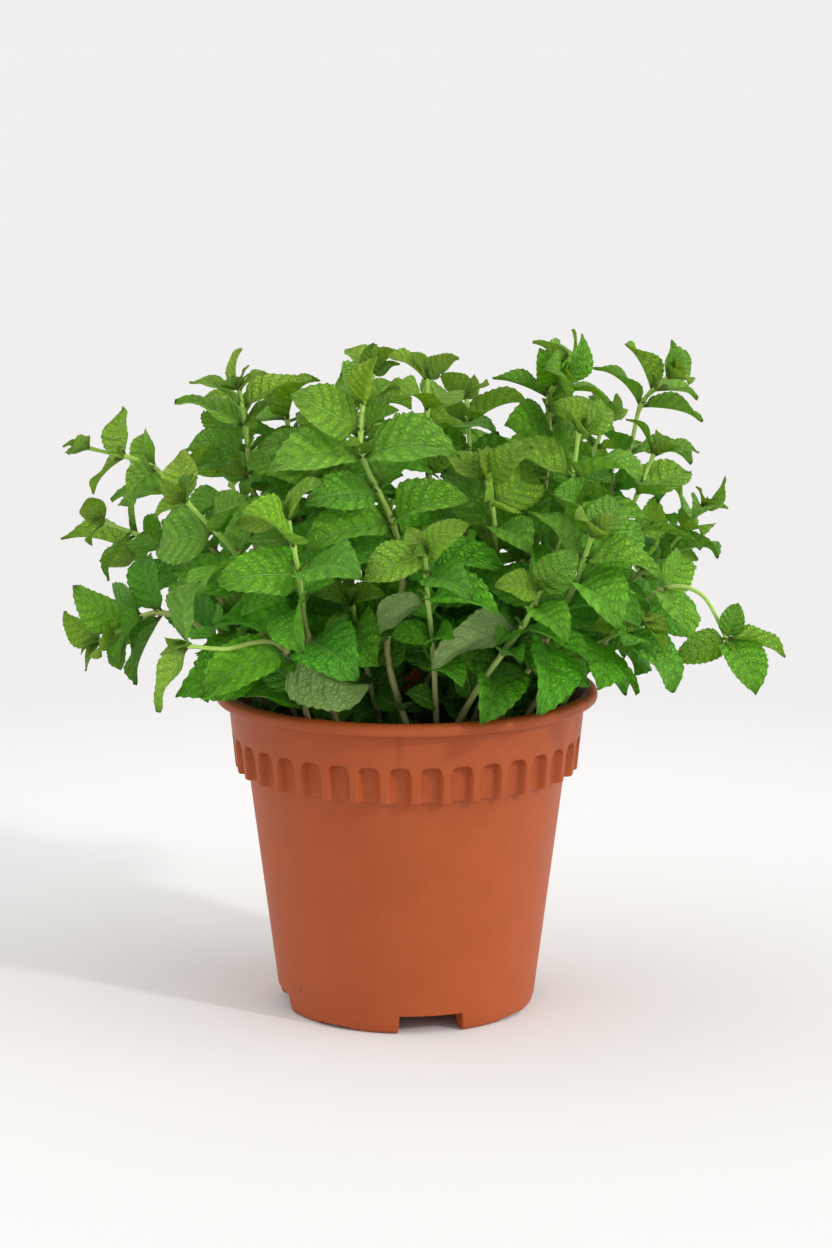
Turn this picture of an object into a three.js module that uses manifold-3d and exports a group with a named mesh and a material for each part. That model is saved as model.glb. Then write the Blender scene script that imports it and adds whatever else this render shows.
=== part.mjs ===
// A mint plant in a moulded plastic nursery pot: millimetres, +Z up.
// The origin is on the pot's axis at the level of its foot, and the plant's front is -Y.
import * as THREE from "three";
import { mergeVertices } from "three/addons/utils/BufferGeometryUtils.js";
import Module from "manifold-3d";

const wasm = await Module();
wasm.setup();

// Driving dimensions of the pot
const LIP_RADIUS = 75;
const POT_HEIGHT = 127;
const LIP_HEIGHT = 4.5;
const LIP_ROUNDING = 2;
const COLLAR_TOP_RADIUS = 70;
const COLLAR_FOOT_RADIUS = 67.3;
const COLLAR_FOOT = 95;
const BODY_TOP_RADIUS = 62.4;
const BODY_FOOT_RADIUS = 50.4;
const FOOT_ROUNDING = 2.5;
const WALL = 1.8;
const FLOOR_UNDERSIDE = 9;
const FLOOR = 2;
const FLUTES = 36;
const FLUTE_PHASE = -2;
const FLUTE_SHARE = 0.66;
const FLUTE_HEIGHT = 13.5;
const FLUTE_DEPTH = 2.7;
const FLUTE_DRAFT = 1;
const NOTCHES = 8;
const NOTCH_PHASE = 11;
const WIDE_NOTCH = 25;
const WIDE_NOTCH_HEIGHT = 7.6;
const NARROW_NOTCH = 14;
const NARROW_NOTCH_HEIGHT = 1.5;
const DRAIN_RING = 34;
const DRAIN_RADIUS = 4;
const POT_SEGMENTS = 48;
const DRAIN_SEGMENTS = 8;

// Driving dimensions of the soil and the plant
const GAP = 0.3;
const SOIL_LEVEL = 112;
const SOIL_CROWN = 1.5;
const ROOT_DEPTH = 3;
const STEM_ROOT_RADIUS = 1.7;
const STEM_TIP_RADIUS = 1;
const STEPS_PER_SPAN = 2;
const LEAF_LENGTH = 35;
const TIP_PAIR_SHARE = 0.52;
const BUD_PAIR_SHARE = 0.34;
const LEAF_WIDTH_SHARE = 0.66;
const LEAF_THICKNESS = 1.1;
const PETIOLE_SHARE = 0.12;
const PETIOLE_RADIUS = 0.7;
const SHORTEST_BUILT_LEAF = 16;
const SHORTEST_OWN_LEAF = 22;
const LEAF_CLEARANCE = 5;
const SWINGS = [0, 24, -24, 46, -46];
const LIFTS = [0, 20, -20];

// How the leaves vary, as a middle value and a spread: the bend along a leaf and the cup across it
// in degrees, and its length's and width's spreads as shares
const LEAF_BEND = 42;
const BEND_SPREAD = 24;
const LEAF_CUP = 16;
const CUP_SPREAD = 10;
const WIDTH_SPREAD = 0.06;
const LENGTH_SPREAD = 0.12;

// How the pairs sit on a stem: how far each opens from it and how far that angle and a leaf's roll
// stray, all in degrees, how much shorter the pairs get up the stem, and how much they sink
const SIDE_OPENNESS = 68;
const TIP_OPENNESS = 50;
const BUD_OPENNESS = 24;
const ANGLE_SPREAD = 14;
const ROLL_SPREAD = 25;
const SHORTENING = 0.3;
const SINK = 0.15;

// How much a leaf's face looks outwards, upwards and along its stem
const FACING_OUT = 0.9;
const FACING_UP = 0.7;
const FACING_ALONG = 0.2;

// The blade's outline: broadest below its middle, with a rounder base than tip
const OUTLINE_SCALE = 1.245;
const BASE_ROUNDNESS = 0.55;
const TIP_ROUNDNESS = 0.8;

// Where a leaf and a stem are looked at when the next leaf looks for room, and how far leaves stay
// from the pot
const PROBE_STATIONS = [0.35, 0.6, 0.85];
const PROBE_SIDES = [-0.7, 0, 0.7];
const STEM_SAMPLES = 8;
const CLEAR_OF_LIP = 2;
const CLEAR_ABOVE_POT = 5;

// Each shoot and the posed leaves take their chance numbers from a stretch of their own
const SEEDS_PER_SHOOT = 100;
const POSED_SEEDS = 9000;

// A leaf of its own stands this many stem radii off its stem, and a cut leaf's scraps are dropped
const STAND_OFF = 1.4;
const SCRAP_VOLUME = 1;
const MERGE_DISTANCE = 1e-4;

const TERRACOTTA = { color: 0xb4623c, roughness: 0.55, metalness: 0 };
const EARTH = { color: 0x2c2018, roughness: 0.95, metalness: 0 };
const STEM_GREEN = { color: 0x7c9a52, roughness: 0.6, metalness: 0 };
const LEAF_GREEN = { color: 0x3f8f2f, roughness: 0.5, metalness: 0 };

// Each shoot is its root on the soil, [x, y], then the places that it passes, [x, y, z], up to its
// growing tip. A leaf pair grows at every place from the one numbered first, and midway between
// places, except on a bare stretch. turn sets the first pair's angle about the stem, and leaf
// scales the shoot's leaves.
const SHOOTS = [
  { points: [[4, -48], [-7, -60, 152], [-1, -63, 180], [-5, -60, 201], [-16, -55, 225], [-16, -48, 244]],
    first: 2, turn: 20, leaf: 1.15 },
  { points: [[12, -42], [10, -68, 154], [8, -82, 176], [7, -90, 194]], first: 2, turn: 10, leaf: 0.95 },
  { points: [[14, -36], [27, -62, 139], [43, -76, 165], [49, -84, 180]], first: 2, turn: 0, leaf: 0.9 },
  { points: [[-34, -42], [-45, -70, 155], [-67, -80, 157], [-80, -84, 159]],
    first: 1, bare: [1.5, 2.5], turn: 40, leaf: 1.05 },
  { points: [[-46, -14], [-73, -30, 151], [-94, -28, 161], [-107, -26, 155], [-118, -24, 149]],
    first: 1, bare: [1.5, 1.5], turn: 10, leaf: 0.9 },
  { points: [[-44, 4], [-65, 0, 165], [-84, -4, 193], [-97, -8, 214], [-122, -16, 223]],
    first: 0.5, turn: 60, leaf: 0.9 },
  { points: [[-40, 22], [-77, 26, 160], [-97, 30, 177], [-121, 32, 187]], first: 1, turn: 20, leaf: 0.9 },
  { points: [[-32, 12], [-53, 4, 172], [-60, -2, 209], [-62, -6, 230], [-64, -10, 245]],
    first: 0.5, turn: 80, leaf: 0.9 },
  { points: [[-38, -28], [-56, -48, 162], [-62, -56, 186], [-81, -62, 209]],
    first: 0.5, turn: 30, leaf: 1.1 },
  { points: [[-22, -42], [-36, -64, 157], [-39, -80, 185], [-43, -74, 204]], first: 1, turn: 5, leaf: 1.1 },
  { points: [[-24, 18], [-42, 14, 190], [-46, 20, 221], [-48, 26, 236]], first: 0.5, turn: 45, leaf: 1 },
  { points: [[-8, 8], [-18, 6, 184], [-17, 8, 223], [-13, 14, 248]], first: 0.5, turn: 15, leaf: 1.1 },
  { points: [[8, -4], [9, -6, 193], [8, -4, 224], [8, -2, 248]], first: 0.5, turn: 70, leaf: 1.05 },
  { points: [[12, 26], [24, 30, 188], [25, 36, 215], [24, 42, 235]], first: 0.5, turn: 0, leaf: 1 },
  { points: [[24, 8], [48, 4, 176], [54, 0, 208], [55, -2, 230], [55, -6, 242], [60, -10, 251]],
    first: 0.5, turn: 50, leaf: 1 },
  { points: [[38, 14], [72, 16, 182], [87, 18, 216], [92, 16, 236], [102, 12, 247]],
    first: 0.5, bare: [2.5, 2.5], turn: 25, leaf: 0.95 },
  { points: [[42, -4], [71, -12, 167], [83, -14, 191], [95, -12, 220]], first: 0.5, turn: 0, leaf: 1 },
  { points: [[46, 16], [82, 12, 159], [100, 8, 177], [115, 0, 197]], first: 0.5, turn: 70, leaf: 1 },
  { points: [[42, -22], [77, -34, 152], [96, -42, 172], [111, -44, 171], [121, -47, 154]],
    first: 1, bare: [2.5, 3.5], turn: 30, leaf: 1 },
  { points: [[38, -32], [56, -41, 138], [73, -53, 154], [87, -64, 165]], first: 2, turn: 60, leaf: 1 },
  { points: [[28, -38], [52, -58, 156], [62, -70, 179], [68, -75, 198]], first: 1, turn: 15, leaf: 1.1 },
  { points: [[18, -18], [32, -36, 171], [33, -52, 197], [30, -54, 216]], first: 0.5, turn: 40, leaf: 1.15 },
  { points: [[26, -12], [49, -26, 166], [60, -36, 198], [65, -36, 232]], first: 0.5, turn: 75, leaf: 1.1 },
  { points: [[-20, -10], [-29, -20, 180], [-29, -28, 212], [-31, -24, 231]],
    first: 0.5, turn: 55, leaf: 1.1 },
  { points: [[-34, 38], [-58, 62, 162], [-70, 76, 188], [-76, 84, 208]], first: 0.5, turn: 20, leaf: 1 },
  { points: [[-6, 44], [-10, 60, 170], [-10, 74, 202], [-12, 82, 226]], first: 0.5, turn: 50, leaf: 1 },
  { points: [[26, 40], [46, 60, 166], [58, 74, 192], [66, 80, 214]], first: 0.5, turn: 10, leaf: 1 },
  { points: [[-44, 30], [-61, 38, 143], [-86, 48, 162], [-110, 58, 169]], first: 1, turn: 45, leaf: 0.95 },
  { points: [[44, 24], [58, 35, 142], [82, 50, 162], [104, 62, 169]], first: 1, turn: 0, leaf: 0.95 },
  { points: [[6, 54], [14, 80, 150], [18, 92, 158]], first: 1, turn: 30, leaf: 0.95 },
  { points: [[34, 28], [58, 36, 176], [72, 46, 204], [80, 50, 226]], first: 0.5, turn: 35, leaf: 1 },
  { points: [[-32, 28], [-52, 40, 176], [-60, 50, 206], [-66, 54, 228]], first: 0.5, turn: 65, leaf: 1 },
  { points: [[-8, -30], [-16, -47, 148], [-20, -58, 170]], first: 1, turn: 25, leaf: 1.05 },
  { points: [[22, -26], [36, -45, 148], [44, -56, 164]], first: 1, turn: 60, leaf: 1.05 },
  { points: [[-30, -18], [-52, -34, 144], [-64, -40, 158]], first: 1, turn: 40, leaf: 1.05 },
  { points: [[2, -18], [12, -34, 152], [16, -44, 176]], first: 1, turn: 75, leaf: 1.1 },
];

// Leaves posed one by one, which give the plant its outline. Each grows at a place of a shoot, on
// one side of it, and reaches to its tip; roll turns its face.
const POSED = [
  { shoot: 0, node: 4, side: 0, tip: [-53, -66, 220], roll: 0 },
  { shoot: 0, node: 4, side: 1, tip: [20, -72, 229], roll: 0 },
  { shoot: 0, node: 3, side: 0, tip: [-38, -74, 194], roll: 0 },
  { shoot: 0, node: 3, side: 1, tip: [23, -78, 212], roll: 0 },
  { shoot: 1, node: 3, side: 0, tip: [-16, -96, 185], roll: 0 },
  { shoot: 1, node: 3, side: 1, tip: [23, -96, 206], roll: 0 },
  { shoot: 1, node: 2, side: 0, tip: [-12, -88, 165], roll: 100 },
  { shoot: 2, node: 3, side: 0, tip: [32, -92, 183], roll: 0 },
  { shoot: 2, node: 3, side: 1, tip: [62, -90, 196], roll: 0 },
  { shoot: 2, node: 2, side: 0, tip: [9, -86, 151], roll: 110 },
  { shoot: 3, node: 1, side: 0, tip: [-12, -86, 143], roll: 150 },
  { shoot: 3, node: 1, side: 1, tip: [-76, -80, 139], roll: -20 },
  { shoot: 3, node: 3, side: 0, tip: [-77, -92, 185], roll: 0 },
  { shoot: 3, node: 3, side: 1, tip: [-91, -92, 136], roll: 60 },
  { shoot: 4, node: 4, side: 0, tip: [-131, -30, 162], roll: 0 },
  { shoot: 4, node: 4, side: 1, tip: [-124, -22, 137], roll: 0 },
  { shoot: 7, node: 3, side: 0, tip: [-89, -6, 241], roll: 0 },
  { shoot: 8, node: 3, side: 0, tip: [-93, -66, 203], roll: 0 },
  { shoot: 14, node: 4, side: 0, tip: [33, -6, 249], roll: 0 },
  { shoot: 14, node: 4, side: 1, tip: [79, -12, 241], roll: 0 },
  { shoot: 14, node: 5, side: 0, tip: [64, -12, 268], roll: 0 },
  { shoot: 15, node: 3, side: 0, tip: [73, 12, 251], roll: 0 },
  { shoot: 15, node: 3, side: 1, tip: [116, 8, 231], roll: 0 },
  { shoot: 17, node: 3, side: 0, tip: [124, -2, 210], roll: 0 },
  { shoot: 17, node: 2, side: 1, tip: [123, -6, 181], roll: 0 },
  { shoot: 18, node: 4, side: 0, tip: [100, -52, 147], roll: 0 },
  { shoot: 18, node: 4, side: 1, tip: [143, -52, 150], roll: 0 },
  { shoot: 19, node: 3, side: 0, tip: [68, -74, 163], roll: 0 },
  { shoot: 19, node: 3, side: 1, tip: [96, -70, 152], roll: 0 },
  { shoot: 27, node: 3, side: 0, tip: [-142, 62, 176], roll: 0 },
  { shoot: 29, node: 2, side: 0, tip: [26, 111, 152], roll: 0 },
];

const rad = THREE.MathUtils.degToRad;
const Z_AXIS = new THREE.Vector3(0, 0, 1);

// A repeatable stand-in for chance: the same number n always gives the same value from -1 to 1.
function jitter(n) {
  const wave = Math.sin(n * 12.9898 + 4.1414) * 43758.5453;
  return 2 * (wave - Math.floor(wave)) - 1;
}

// ---- Solids ----

function toSolid(geometry) {
  const bare = geometry.clone();
  bare.deleteAttribute("normal");
  bare.deleteAttribute("uv");
  const merged = mergeVertices(bare, MERGE_DISTANCE);
  const mesh = new wasm.Mesh({
    numProp: 3,
    vertProperties: new Float32Array(merged.attributes.position.array),
    triVerts: new Uint32Array(merged.index.array),
  });
  return new wasm.Manifold(mesh);
}

function toGeometry(solid) {
  const { vertProperties, triVerts } = solid.getMesh();
  const geometry = new THREE.BufferGeometry();
  geometry.setAttribute("position", new THREE.BufferAttribute(vertProperties, 3));
  geometry.setIndex(new THREE.BufferAttribute(triVerts, 1));
  geometry.computeVertexNormals();
  return geometry;
}

function lathe(profile, segments) {
  const geometry = new THREE.LatheGeometry(profile.map(([r, z]) => new THREE.Vector2(r, z)), segments);
  geometry.rotateX(Math.PI / 2);
  return geometry;
}

function atAzimuth(radius, degrees) {
  return new THREE.Vector3(radius * Math.sin(rad(degrees)), -radius * Math.cos(rad(degrees)), 0);
}

// ---- Pot ----

// The wall's outer radius at a height of the plain body, and at a height of the collar
const bodyRadius = (z) => THREE.MathUtils.mapLinear(z, 0, COLLAR_FOOT, BODY_FOOT_RADIUS, BODY_TOP_RADIUS);
const LIP_UNDERSIDE = POT_HEIGHT - LIP_HEIGHT;
const collarRadius = (z) =>
  THREE.MathUtils.mapLinear(z, COLLAR_FOOT, LIP_UNDERSIDE, COLLAR_FOOT_RADIUS, COLLAR_TOP_RADIUS);
const FLUTE_TOP = COLLAR_FOOT + FLUTE_HEIGHT;
const FLUTE_FLOOR = COLLAR_FOOT_RADIUS - FLUTE_DEPTH;
const FLOOR_TOP = FLOOR_UNDERSIDE + FLOOR;
const SHOULDER = COLLAR_FOOT - WALL;

function potBody() {
  return lathe([
    [0, FLOOR_UNDERSIDE],
    [bodyRadius(FLOOR_UNDERSIDE) - WALL, FLOOR_UNDERSIDE],
    [BODY_FOOT_RADIUS - WALL - FOOT_ROUNDING, 0],
    [BODY_FOOT_RADIUS - FOOT_ROUNDING, 0],
    [bodyRadius(FOOT_ROUNDING), FOOT_ROUNDING],
    [bodyRadius(COLLAR_FOOT), COLLAR_FOOT],
    [FLUTE_FLOOR - GAP, FLUTE_TOP],
    [collarRadius(FLUTE_TOP), FLUTE_TOP],
    [COLLAR_TOP_RADIUS, LIP_UNDERSIDE],
    [LIP_RADIUS - LIP_ROUNDING, LIP_UNDERSIDE],
    [LIP_RADIUS, LIP_UNDERSIDE + LIP_ROUNDING],
    [LIP_RADIUS, POT_HEIGHT - LIP_ROUNDING],
    [LIP_RADIUS - LIP_ROUNDING, POT_HEIGHT],
    [COLLAR_TOP_RADIUS, POT_HEIGHT],
    [COLLAR_TOP_RADIUS - WALL, LIP_UNDERSIDE],
    [FLUTE_FLOOR - GAP - WALL, FLUTE_TOP],
    [bodyRadius(SHOULDER) - WALL, SHOULDER],
    [bodyRadius(FLOOR_TOP) - WALL, FLOOR_TOP],
    [0, FLOOR_TOP],
  ], POT_SEGMENTS);
}

// The ribs between the flutes: a ring whose outline steps in at each flute, with sides that open by
// FLUTE_DRAFT degrees
function ribRing() {
  const outline = new THREE.Shape();
  const pitch = 360 / FLUTES;
  const flank = (FLUTE_SHARE * pitch) / 2;
  for (let i = 0; i < FLUTES; i += 1) {
    const middle = FLUTE_PHASE + i * pitch;
    const corners = [
      [COLLAR_FOOT_RADIUS, -flank],
      [FLUTE_FLOOR, FLUTE_DRAFT - flank],
      [FLUTE_FLOOR, flank - FLUTE_DRAFT],
      [COLLAR_FOOT_RADIUS, flank],
    ];
    for (const [radius, offset] of corners) {
      const corner = atAzimuth(radius, middle + offset);
      if (i === 0 && offset === -flank) {
        outline.moveTo(corner.x, corner.y);
      } else {
        outline.lineTo(corner.x, corner.y);
      }
    }
  }
  outline.closePath();
  const hole = new THREE.Path();
  hole.absarc(0, 0, FLUTE_FLOOR - WALL / 2, 0, 2 * Math.PI, true);
  outline.holes.push(hole);
  const ring = new THREE.ExtrudeGeometry(outline, {
    depth: FLUTE_HEIGHT + GAP,
    steps: 1,
    bevelEnabled: false,
    curveSegments: POT_SEGMENTS / 2,
  });
  ring.translate(0, 0, COLLAR_FOOT);
  return ring;
}

function potSolid() {
  let solid = toSolid(potBody()).add(toSolid(ribRing()));
  for (let i = 0; i < NOTCHES; i += 1) {
    const azimuth = NOTCH_PHASE + (i * 360) / NOTCHES;
    const wide = i % 2 === 0;
    const width = wide ? WIDE_NOTCH : NARROW_NOTCH;
    const height = wide ? WIDE_NOTCH_HEIGHT : NARROW_NOTCH_HEIGHT;
    const notch = new THREE.BoxGeometry(width, 4 * FOOT_ROUNDING, 2 * height);
    notch.rotateZ(rad(azimuth));
    const place = atAzimuth(BODY_FOOT_RADIUS - FOOT_ROUNDING, azimuth);
    notch.translate(place.x, place.y, 0);
    const drain = new THREE.CylinderGeometry(DRAIN_RADIUS, DRAIN_RADIUS, 3 * FLOOR, DRAIN_SEGMENTS);
    drain.rotateX(Math.PI / 2);
    const hole = atAzimuth(DRAIN_RING, azimuth);
    drain.translate(hole.x, hole.y, FLOOR_UNDERSIDE + FLOOR / 2);
    solid = solid.subtract(toSolid(notch)).subtract(toSolid(drain));
  }
  return solid;
}

// ---- Soil ----

// The soil fills the pot to just below its lip; extra raises its surface
function soilGeometry(extra = 0) {
  const inside = (z) => {
    if (z <= SHOULDER) {
      return bodyRadius(z) - WALL - GAP;
    }
    const above = FLUTE_FLOOR - GAP - WALL;
    const below = bodyRadius(SHOULDER) - WALL;
    return THREE.MathUtils.mapLinear(z, SHOULDER, FLUTE_TOP, below, above) - GAP;
  };
  const bottom = FLOOR_TOP + GAP;
  const rim = FLUTE_FLOOR - WALL - GAP;
  return lathe([
    [0, bottom],
    [inside(bottom), bottom],
    [inside(SHOULDER), SHOULDER - GAP],
    [inside(FLUTE_TOP), FLUTE_TOP],
    [rim, SOIL_LEVEL - SOIL_CROWN + extra],
    [rim / 2, SOIL_LEVEL + extra],
    [0, SOIL_LEVEL + extra],
  ], POT_SEGMENTS / 2);
}

// ---- Growth: where the stems run and where each leaf sits ----

function shootCurve(shoot) {
  const [[x, y], ...nodes] = shoot.points;
  const root = new THREE.Vector3(x, y, SOIL_LEVEL - ROOT_DEPTH);
  const points = [root, ...nodes.map((node) => new THREE.Vector3(...node))];
  return new THREE.CatmullRomCurve3(points, false, "catmullrom");
}

function stemRadius(t) {
  return THREE.MathUtils.lerp(STEM_ROOT_RADIUS, STEM_TIP_RADIUS, t);
}

// Two directions square to the stem: across the way the shoot leans, and in its plane
function sideDirections(shoot, tangent) {
  const [rootX, rootY] = shoot.points[0];
  const [tipX, tipY] = shoot.points.at(-1);
  const lean = new THREE.Vector3(tipX - rootX, tipY - rootY, 0).normalize();
  const across = lean.cross(Z_AXIS);
  across.addScaledVector(tangent, -across.dot(tangent)).normalize();
  return [across, tangent.clone().cross(across)];
}

// The face of a leaf looks up, outwards and along its stem, square to the leaf's length
function facing(direction, tangent, base, roll) {
  const outward = new THREE.Vector3(base.x, base.y, 0).normalize();
  const face = outward.multiplyScalar(FACING_OUT);
  face.addScaledVector(Z_AXIS, FACING_UP).addScaledVector(tangent, FACING_ALONG);
  face.addScaledVector(direction, -face.dot(direction)).normalize();
  return face.applyAxisAngle(direction, rad(roll));
}

// A point of a leaf: s runs from its base to its tip, v across it from -1 to 1, lift off its face,
// and extra widens it
function leafPoint(leaf, s, v, lift, extra = 0) {
  const half = leaf.bend / 2;
  const turn = leaf.bend * (s - 0.5);
  const along = (Math.sin(turn) + Math.sin(half)) / (2 * Math.sin(half));
  const bulge = (Math.cos(turn) - Math.cos(half)) / (2 * Math.sin(half));
  const width = halfWidth(leaf, s) + extra;
  const height = Math.abs(v) * width * Math.sin(leaf.cup) + lift;
  const side = leaf.face.clone().cross(leaf.direction);
  return leaf.base
    .clone()
    .addScaledVector(leaf.direction, leaf.length * along + height * Math.sin(turn))
    .addScaledVector(leaf.face, leaf.length * bulge + height * Math.cos(turn))
    .addScaledVector(side, v * width * Math.cos(leaf.cup));
}

// Half the leaf's width at s: an even stalk, then a blade that is broadest below its middle
function halfWidth(leaf, s) {
  if (s <= PETIOLE_SHARE) {
    return PETIOLE_RADIUS;
  }
  const u = (s - PETIOLE_SHARE) / (1 - PETIOLE_SHARE);
  const outline = OUTLINE_SCALE * u ** BASE_ROUNDNESS * (1 - u) ** TIP_ROUNDNESS;
  return PETIOLE_RADIUS * (1 - u) + leaf.width * outline;
}

function makeLeaf(base, tangent, direction, length, roll, seed) {
  const bend = rad(LEAF_BEND + BEND_SPREAD * jitter(seed));
  const cup = rad(LEAF_CUP + CUP_SPREAD * jitter(seed + 0.3));
  const width = length * (LEAF_WIDTH_SHARE + WIDTH_SPREAD * jitter(seed + 0.6));
  const face = facing(direction, tangent, base, roll);
  return { base, direction, face, length, width, bend, cup };
}

// Points over a leaf, which stand for it when the next leaves look for room
function probe(leaf) {
  const points = [leafPoint(leaf, 1, 0, 0)];
  for (const s of PROBE_STATIONS) {
    for (const v of PROBE_SIDES) {
      points.push(leafPoint(leaf, s, v, 0));
    }
  }
  return points;
}

function room(points, taken) {
  let nearest = LEAF_CLEARANCE;
  for (const p of points) {
    if (Math.hypot(p.x, p.y) < LIP_RADIUS + CLEAR_OF_LIP && p.z < POT_HEIGHT + CLEAR_ABOVE_POT) {
      return 0;
    }
    for (const q of taken) {
      nearest = Math.min(nearest, p.distanceTo(q));
    }
  }
  return nearest;
}

// The leaf turns about its stem, and opens or closes to it, until it has room
function settle(shoot, node, angle, openness, length, seed, taken) {
  let best = null;
  let bestRoom = -1;
  for (const lift of LIFTS) {
    for (const swing of SWINGS) {
      const [across, inPlane] = sideDirections(shoot, node.tangent);
      const about = rad(angle + swing);
      const out = across.multiplyScalar(Math.cos(about)).addScaledVector(inPlane, Math.sin(about));
      const open = rad(openness + lift);
      const direction = node.tangent.clone().multiplyScalar(Math.cos(open));
      direction.addScaledVector(out, Math.sin(open));
      direction.z -= SINK;
      direction.normalize();
      const roll = ROLL_SPREAD * jitter(seed + 0.9);
      const leaf = makeLeaf(node.base, node.tangent, direction, length, roll, seed);
      const clear = room(probe(leaf), taken);
      if (clear > bestRoom + 1e-6) {
        best = leaf;
        bestRoom = clear;
      }
      if (clear >= LEAF_CLEARANCE) {
        return leaf;
      }
    }
  }
  return best;
}

// Where a shoot's leaf pairs grow: at its places and midway, but not on its bare stretch
function pairPlaces(shoot) {
  const last = shoot.points.length - 1;
  const [bareFrom, bareTo] = shoot.bare ?? [last + 1, last + 1];
  const places = [];
  for (let at = shoot.first; at <= last; at += 0.5) {
    if (at < bareFrom || at > bareTo) {
      places.push(at);
    }
  }
  return places;
}

// All leaves: the posed ones first, then each shoot's pairs, each pair square to the one below
function growLeaves() {
  const leaves = [];
  const taken = [];
  const curves = SHOOTS.map(shootCurve);
  const nodeAt = (s, at) => {
    const t = at / (SHOOTS[s].points.length - 1);
    const tangent = curves[s].getTangent(t);
    const base = curves[s].getPoint(t).addScaledVector(tangent, -STEM_TIP_RADIUS);
    return { base, tangent };
  };
  SHOOTS.forEach((shoot, s) => {
    const samples = STEM_SAMPLES * (shoot.points.length - 1);
    for (let i = 0; i <= samples; i += 1) {
      taken.push(curves[s].getPoint(i / samples));
    }
  });
  const add = (leaf, shoot, own) => {
    leaves.push({ ...leaf, shoot, own });
    taken.push(...probe(leaf));
  };
  POSED.forEach(({ shoot, node, tip, roll }, i) => {
    const { base, tangent } = nodeAt(shoot, node);
    const reach = new THREE.Vector3(...tip).sub(base);
    const length = reach.length();
    const leaf = makeLeaf(base, tangent, reach.normalize(), length, roll, POSED_SEEDS + i);
    add(leaf, shoot, length >= SHORTEST_OWN_LEAF);
  });
  SHOOTS.forEach((shoot, s) => {
    const places = pairPlaces(shoot);
    places.forEach((at, n) => {
      const isTip = n === places.length - 1;
      const height = n / places.length;
      const tipPairs = [[TIP_PAIR_SHARE, TIP_OPENNESS], [BUD_PAIR_SHARE, BUD_OPENNESS]];
      const pairs = isTip ? tipPairs : [[1 - SHORTENING * height, SIDE_OPENNESS]];
      pairs.forEach(([share, openness], p) => {
        for (const side of [0, 1]) {
          if (p === 0 && POSED.some((q) => q.shoot === s && q.node === at && q.side === side)) {
            continue;
          }
          const seed = SEEDS_PER_SHOOT * s + 4 * n + 2 * p + side;
          const stray = ANGLE_SPREAD * jitter(seed + 0.1);
          const angle = shoot.turn + 90 * (n + p) + 180 * side + stray;
          const length = LEAF_LENGTH * shoot.leaf * share * (1 + LENGTH_SPREAD * jitter(seed + 0.2));
          add(settle(shoot, nodeAt(s, at), angle, openness, length, seed, taken), s, false);
        }
      });
    });
  });
  return leaves;
}

// ---- Stem and leaf solids ----

// A square stem: a four-sided cylinder laid along the shoot's curve, thinner towards the tip
function stemGeometry(shoot, extra) {
  const curve = shootCurve(shoot);
  const steps = STEPS_PER_SPAN * (shoot.points.length - 1);
  const geometry = new THREE.CylinderGeometry(1, 1, 1, 4, steps);
  const position = geometry.attributes.position;
  for (let i = 0; i < position.count; i += 1) {
    const t = THREE.MathUtils.clamp(position.getY(i) + 0.5, 0, 1);
    const [across, inPlane] = sideDirections(shoot, curve.getTangent(t));
    const radius = stemRadius(t) + extra;
    const point = curve.getPoint(t);
    point.addScaledVector(inPlane, radius * position.getX(i));
    point.addScaledVector(across, radius * position.getZ(i));
    position.setXYZ(i, point.x, point.y, point.z);
  }
  return geometry;
}

// A leaf: a four-sided sphere drawn out along the leaf, with its ring corners at the leaf's edges,
// its upper face and its underside
function leafGeometry(leaf, extra) {
  const stations = leaf.own ? [0, PETIOLE_SHARE, 0.4, 0.75, 1] : [0, PETIOLE_SHARE, 0.5, 1];
  const rings = stations.length - 1;
  const geometry = new THREE.SphereGeometry(1, 4, rings);
  const position = geometry.attributes.position;
  for (let i = 0; i < position.count; i += 1) {
    const ring = Math.round((Math.acos(THREE.MathUtils.clamp(position.getY(i), -1, 1)) / Math.PI) * rings);
    const around = Math.hypot(position.getX(i), position.getZ(i));
    const edge = around > 1e-6 ? position.getX(i) / around : 0;
    const lift = around > 1e-6 ? position.getZ(i) / around : 0;
    const s = stations[ring];
    const thickness = ring <= 1 ? PETIOLE_RADIUS : LEAF_THICKNESS / 2;
    const end = ring === 0 ? -extra : ring === rings ? extra : 0;
    const point = leafPoint(leaf, s, edge, lift * (thickness + extra), extra);
    point.addScaledVector(leaf.direction, end);
    position.setXYZ(i, point.x, point.y, point.z);
  }
  return geometry;
}

function meet(a, b) {
  return [0, 1, 2].every((i) => a.min[i] <= b.max[i] && b.min[i] <= a.max[i]);
}

// What is left of a solid after its neighbours' room is taken away: the part at its base
function trim(solid, guards, base) {
  let rest = solid;
  for (const guard of guards) {
    if (meet(guard.box, rest.boundingBox())) {
      rest = rest.subtract(guard.solid);
    }
  }
  const parts = rest.decompose().filter((part) => part.volume() > SCRAP_VOLUME);
  const near = (part) => {
    const { vertProperties } = part.getMesh();
    let nearest = Infinity;
    for (let i = 0; i < vertProperties.length; i += 3) {
      const vertex = new THREE.Vector3().fromArray(vertProperties, i);
      nearest = Math.min(nearest, vertex.distanceTo(base));
    }
    return nearest;
  };
  parts.sort((a, b) => near(a) - near(b));
  return parts[0] ?? null;
}

function guardOf(geometry, shoot, own) {
  const solid = toSolid(geometry);
  return { solid, box: solid.boundingBox(), shoot, own };
}

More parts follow.
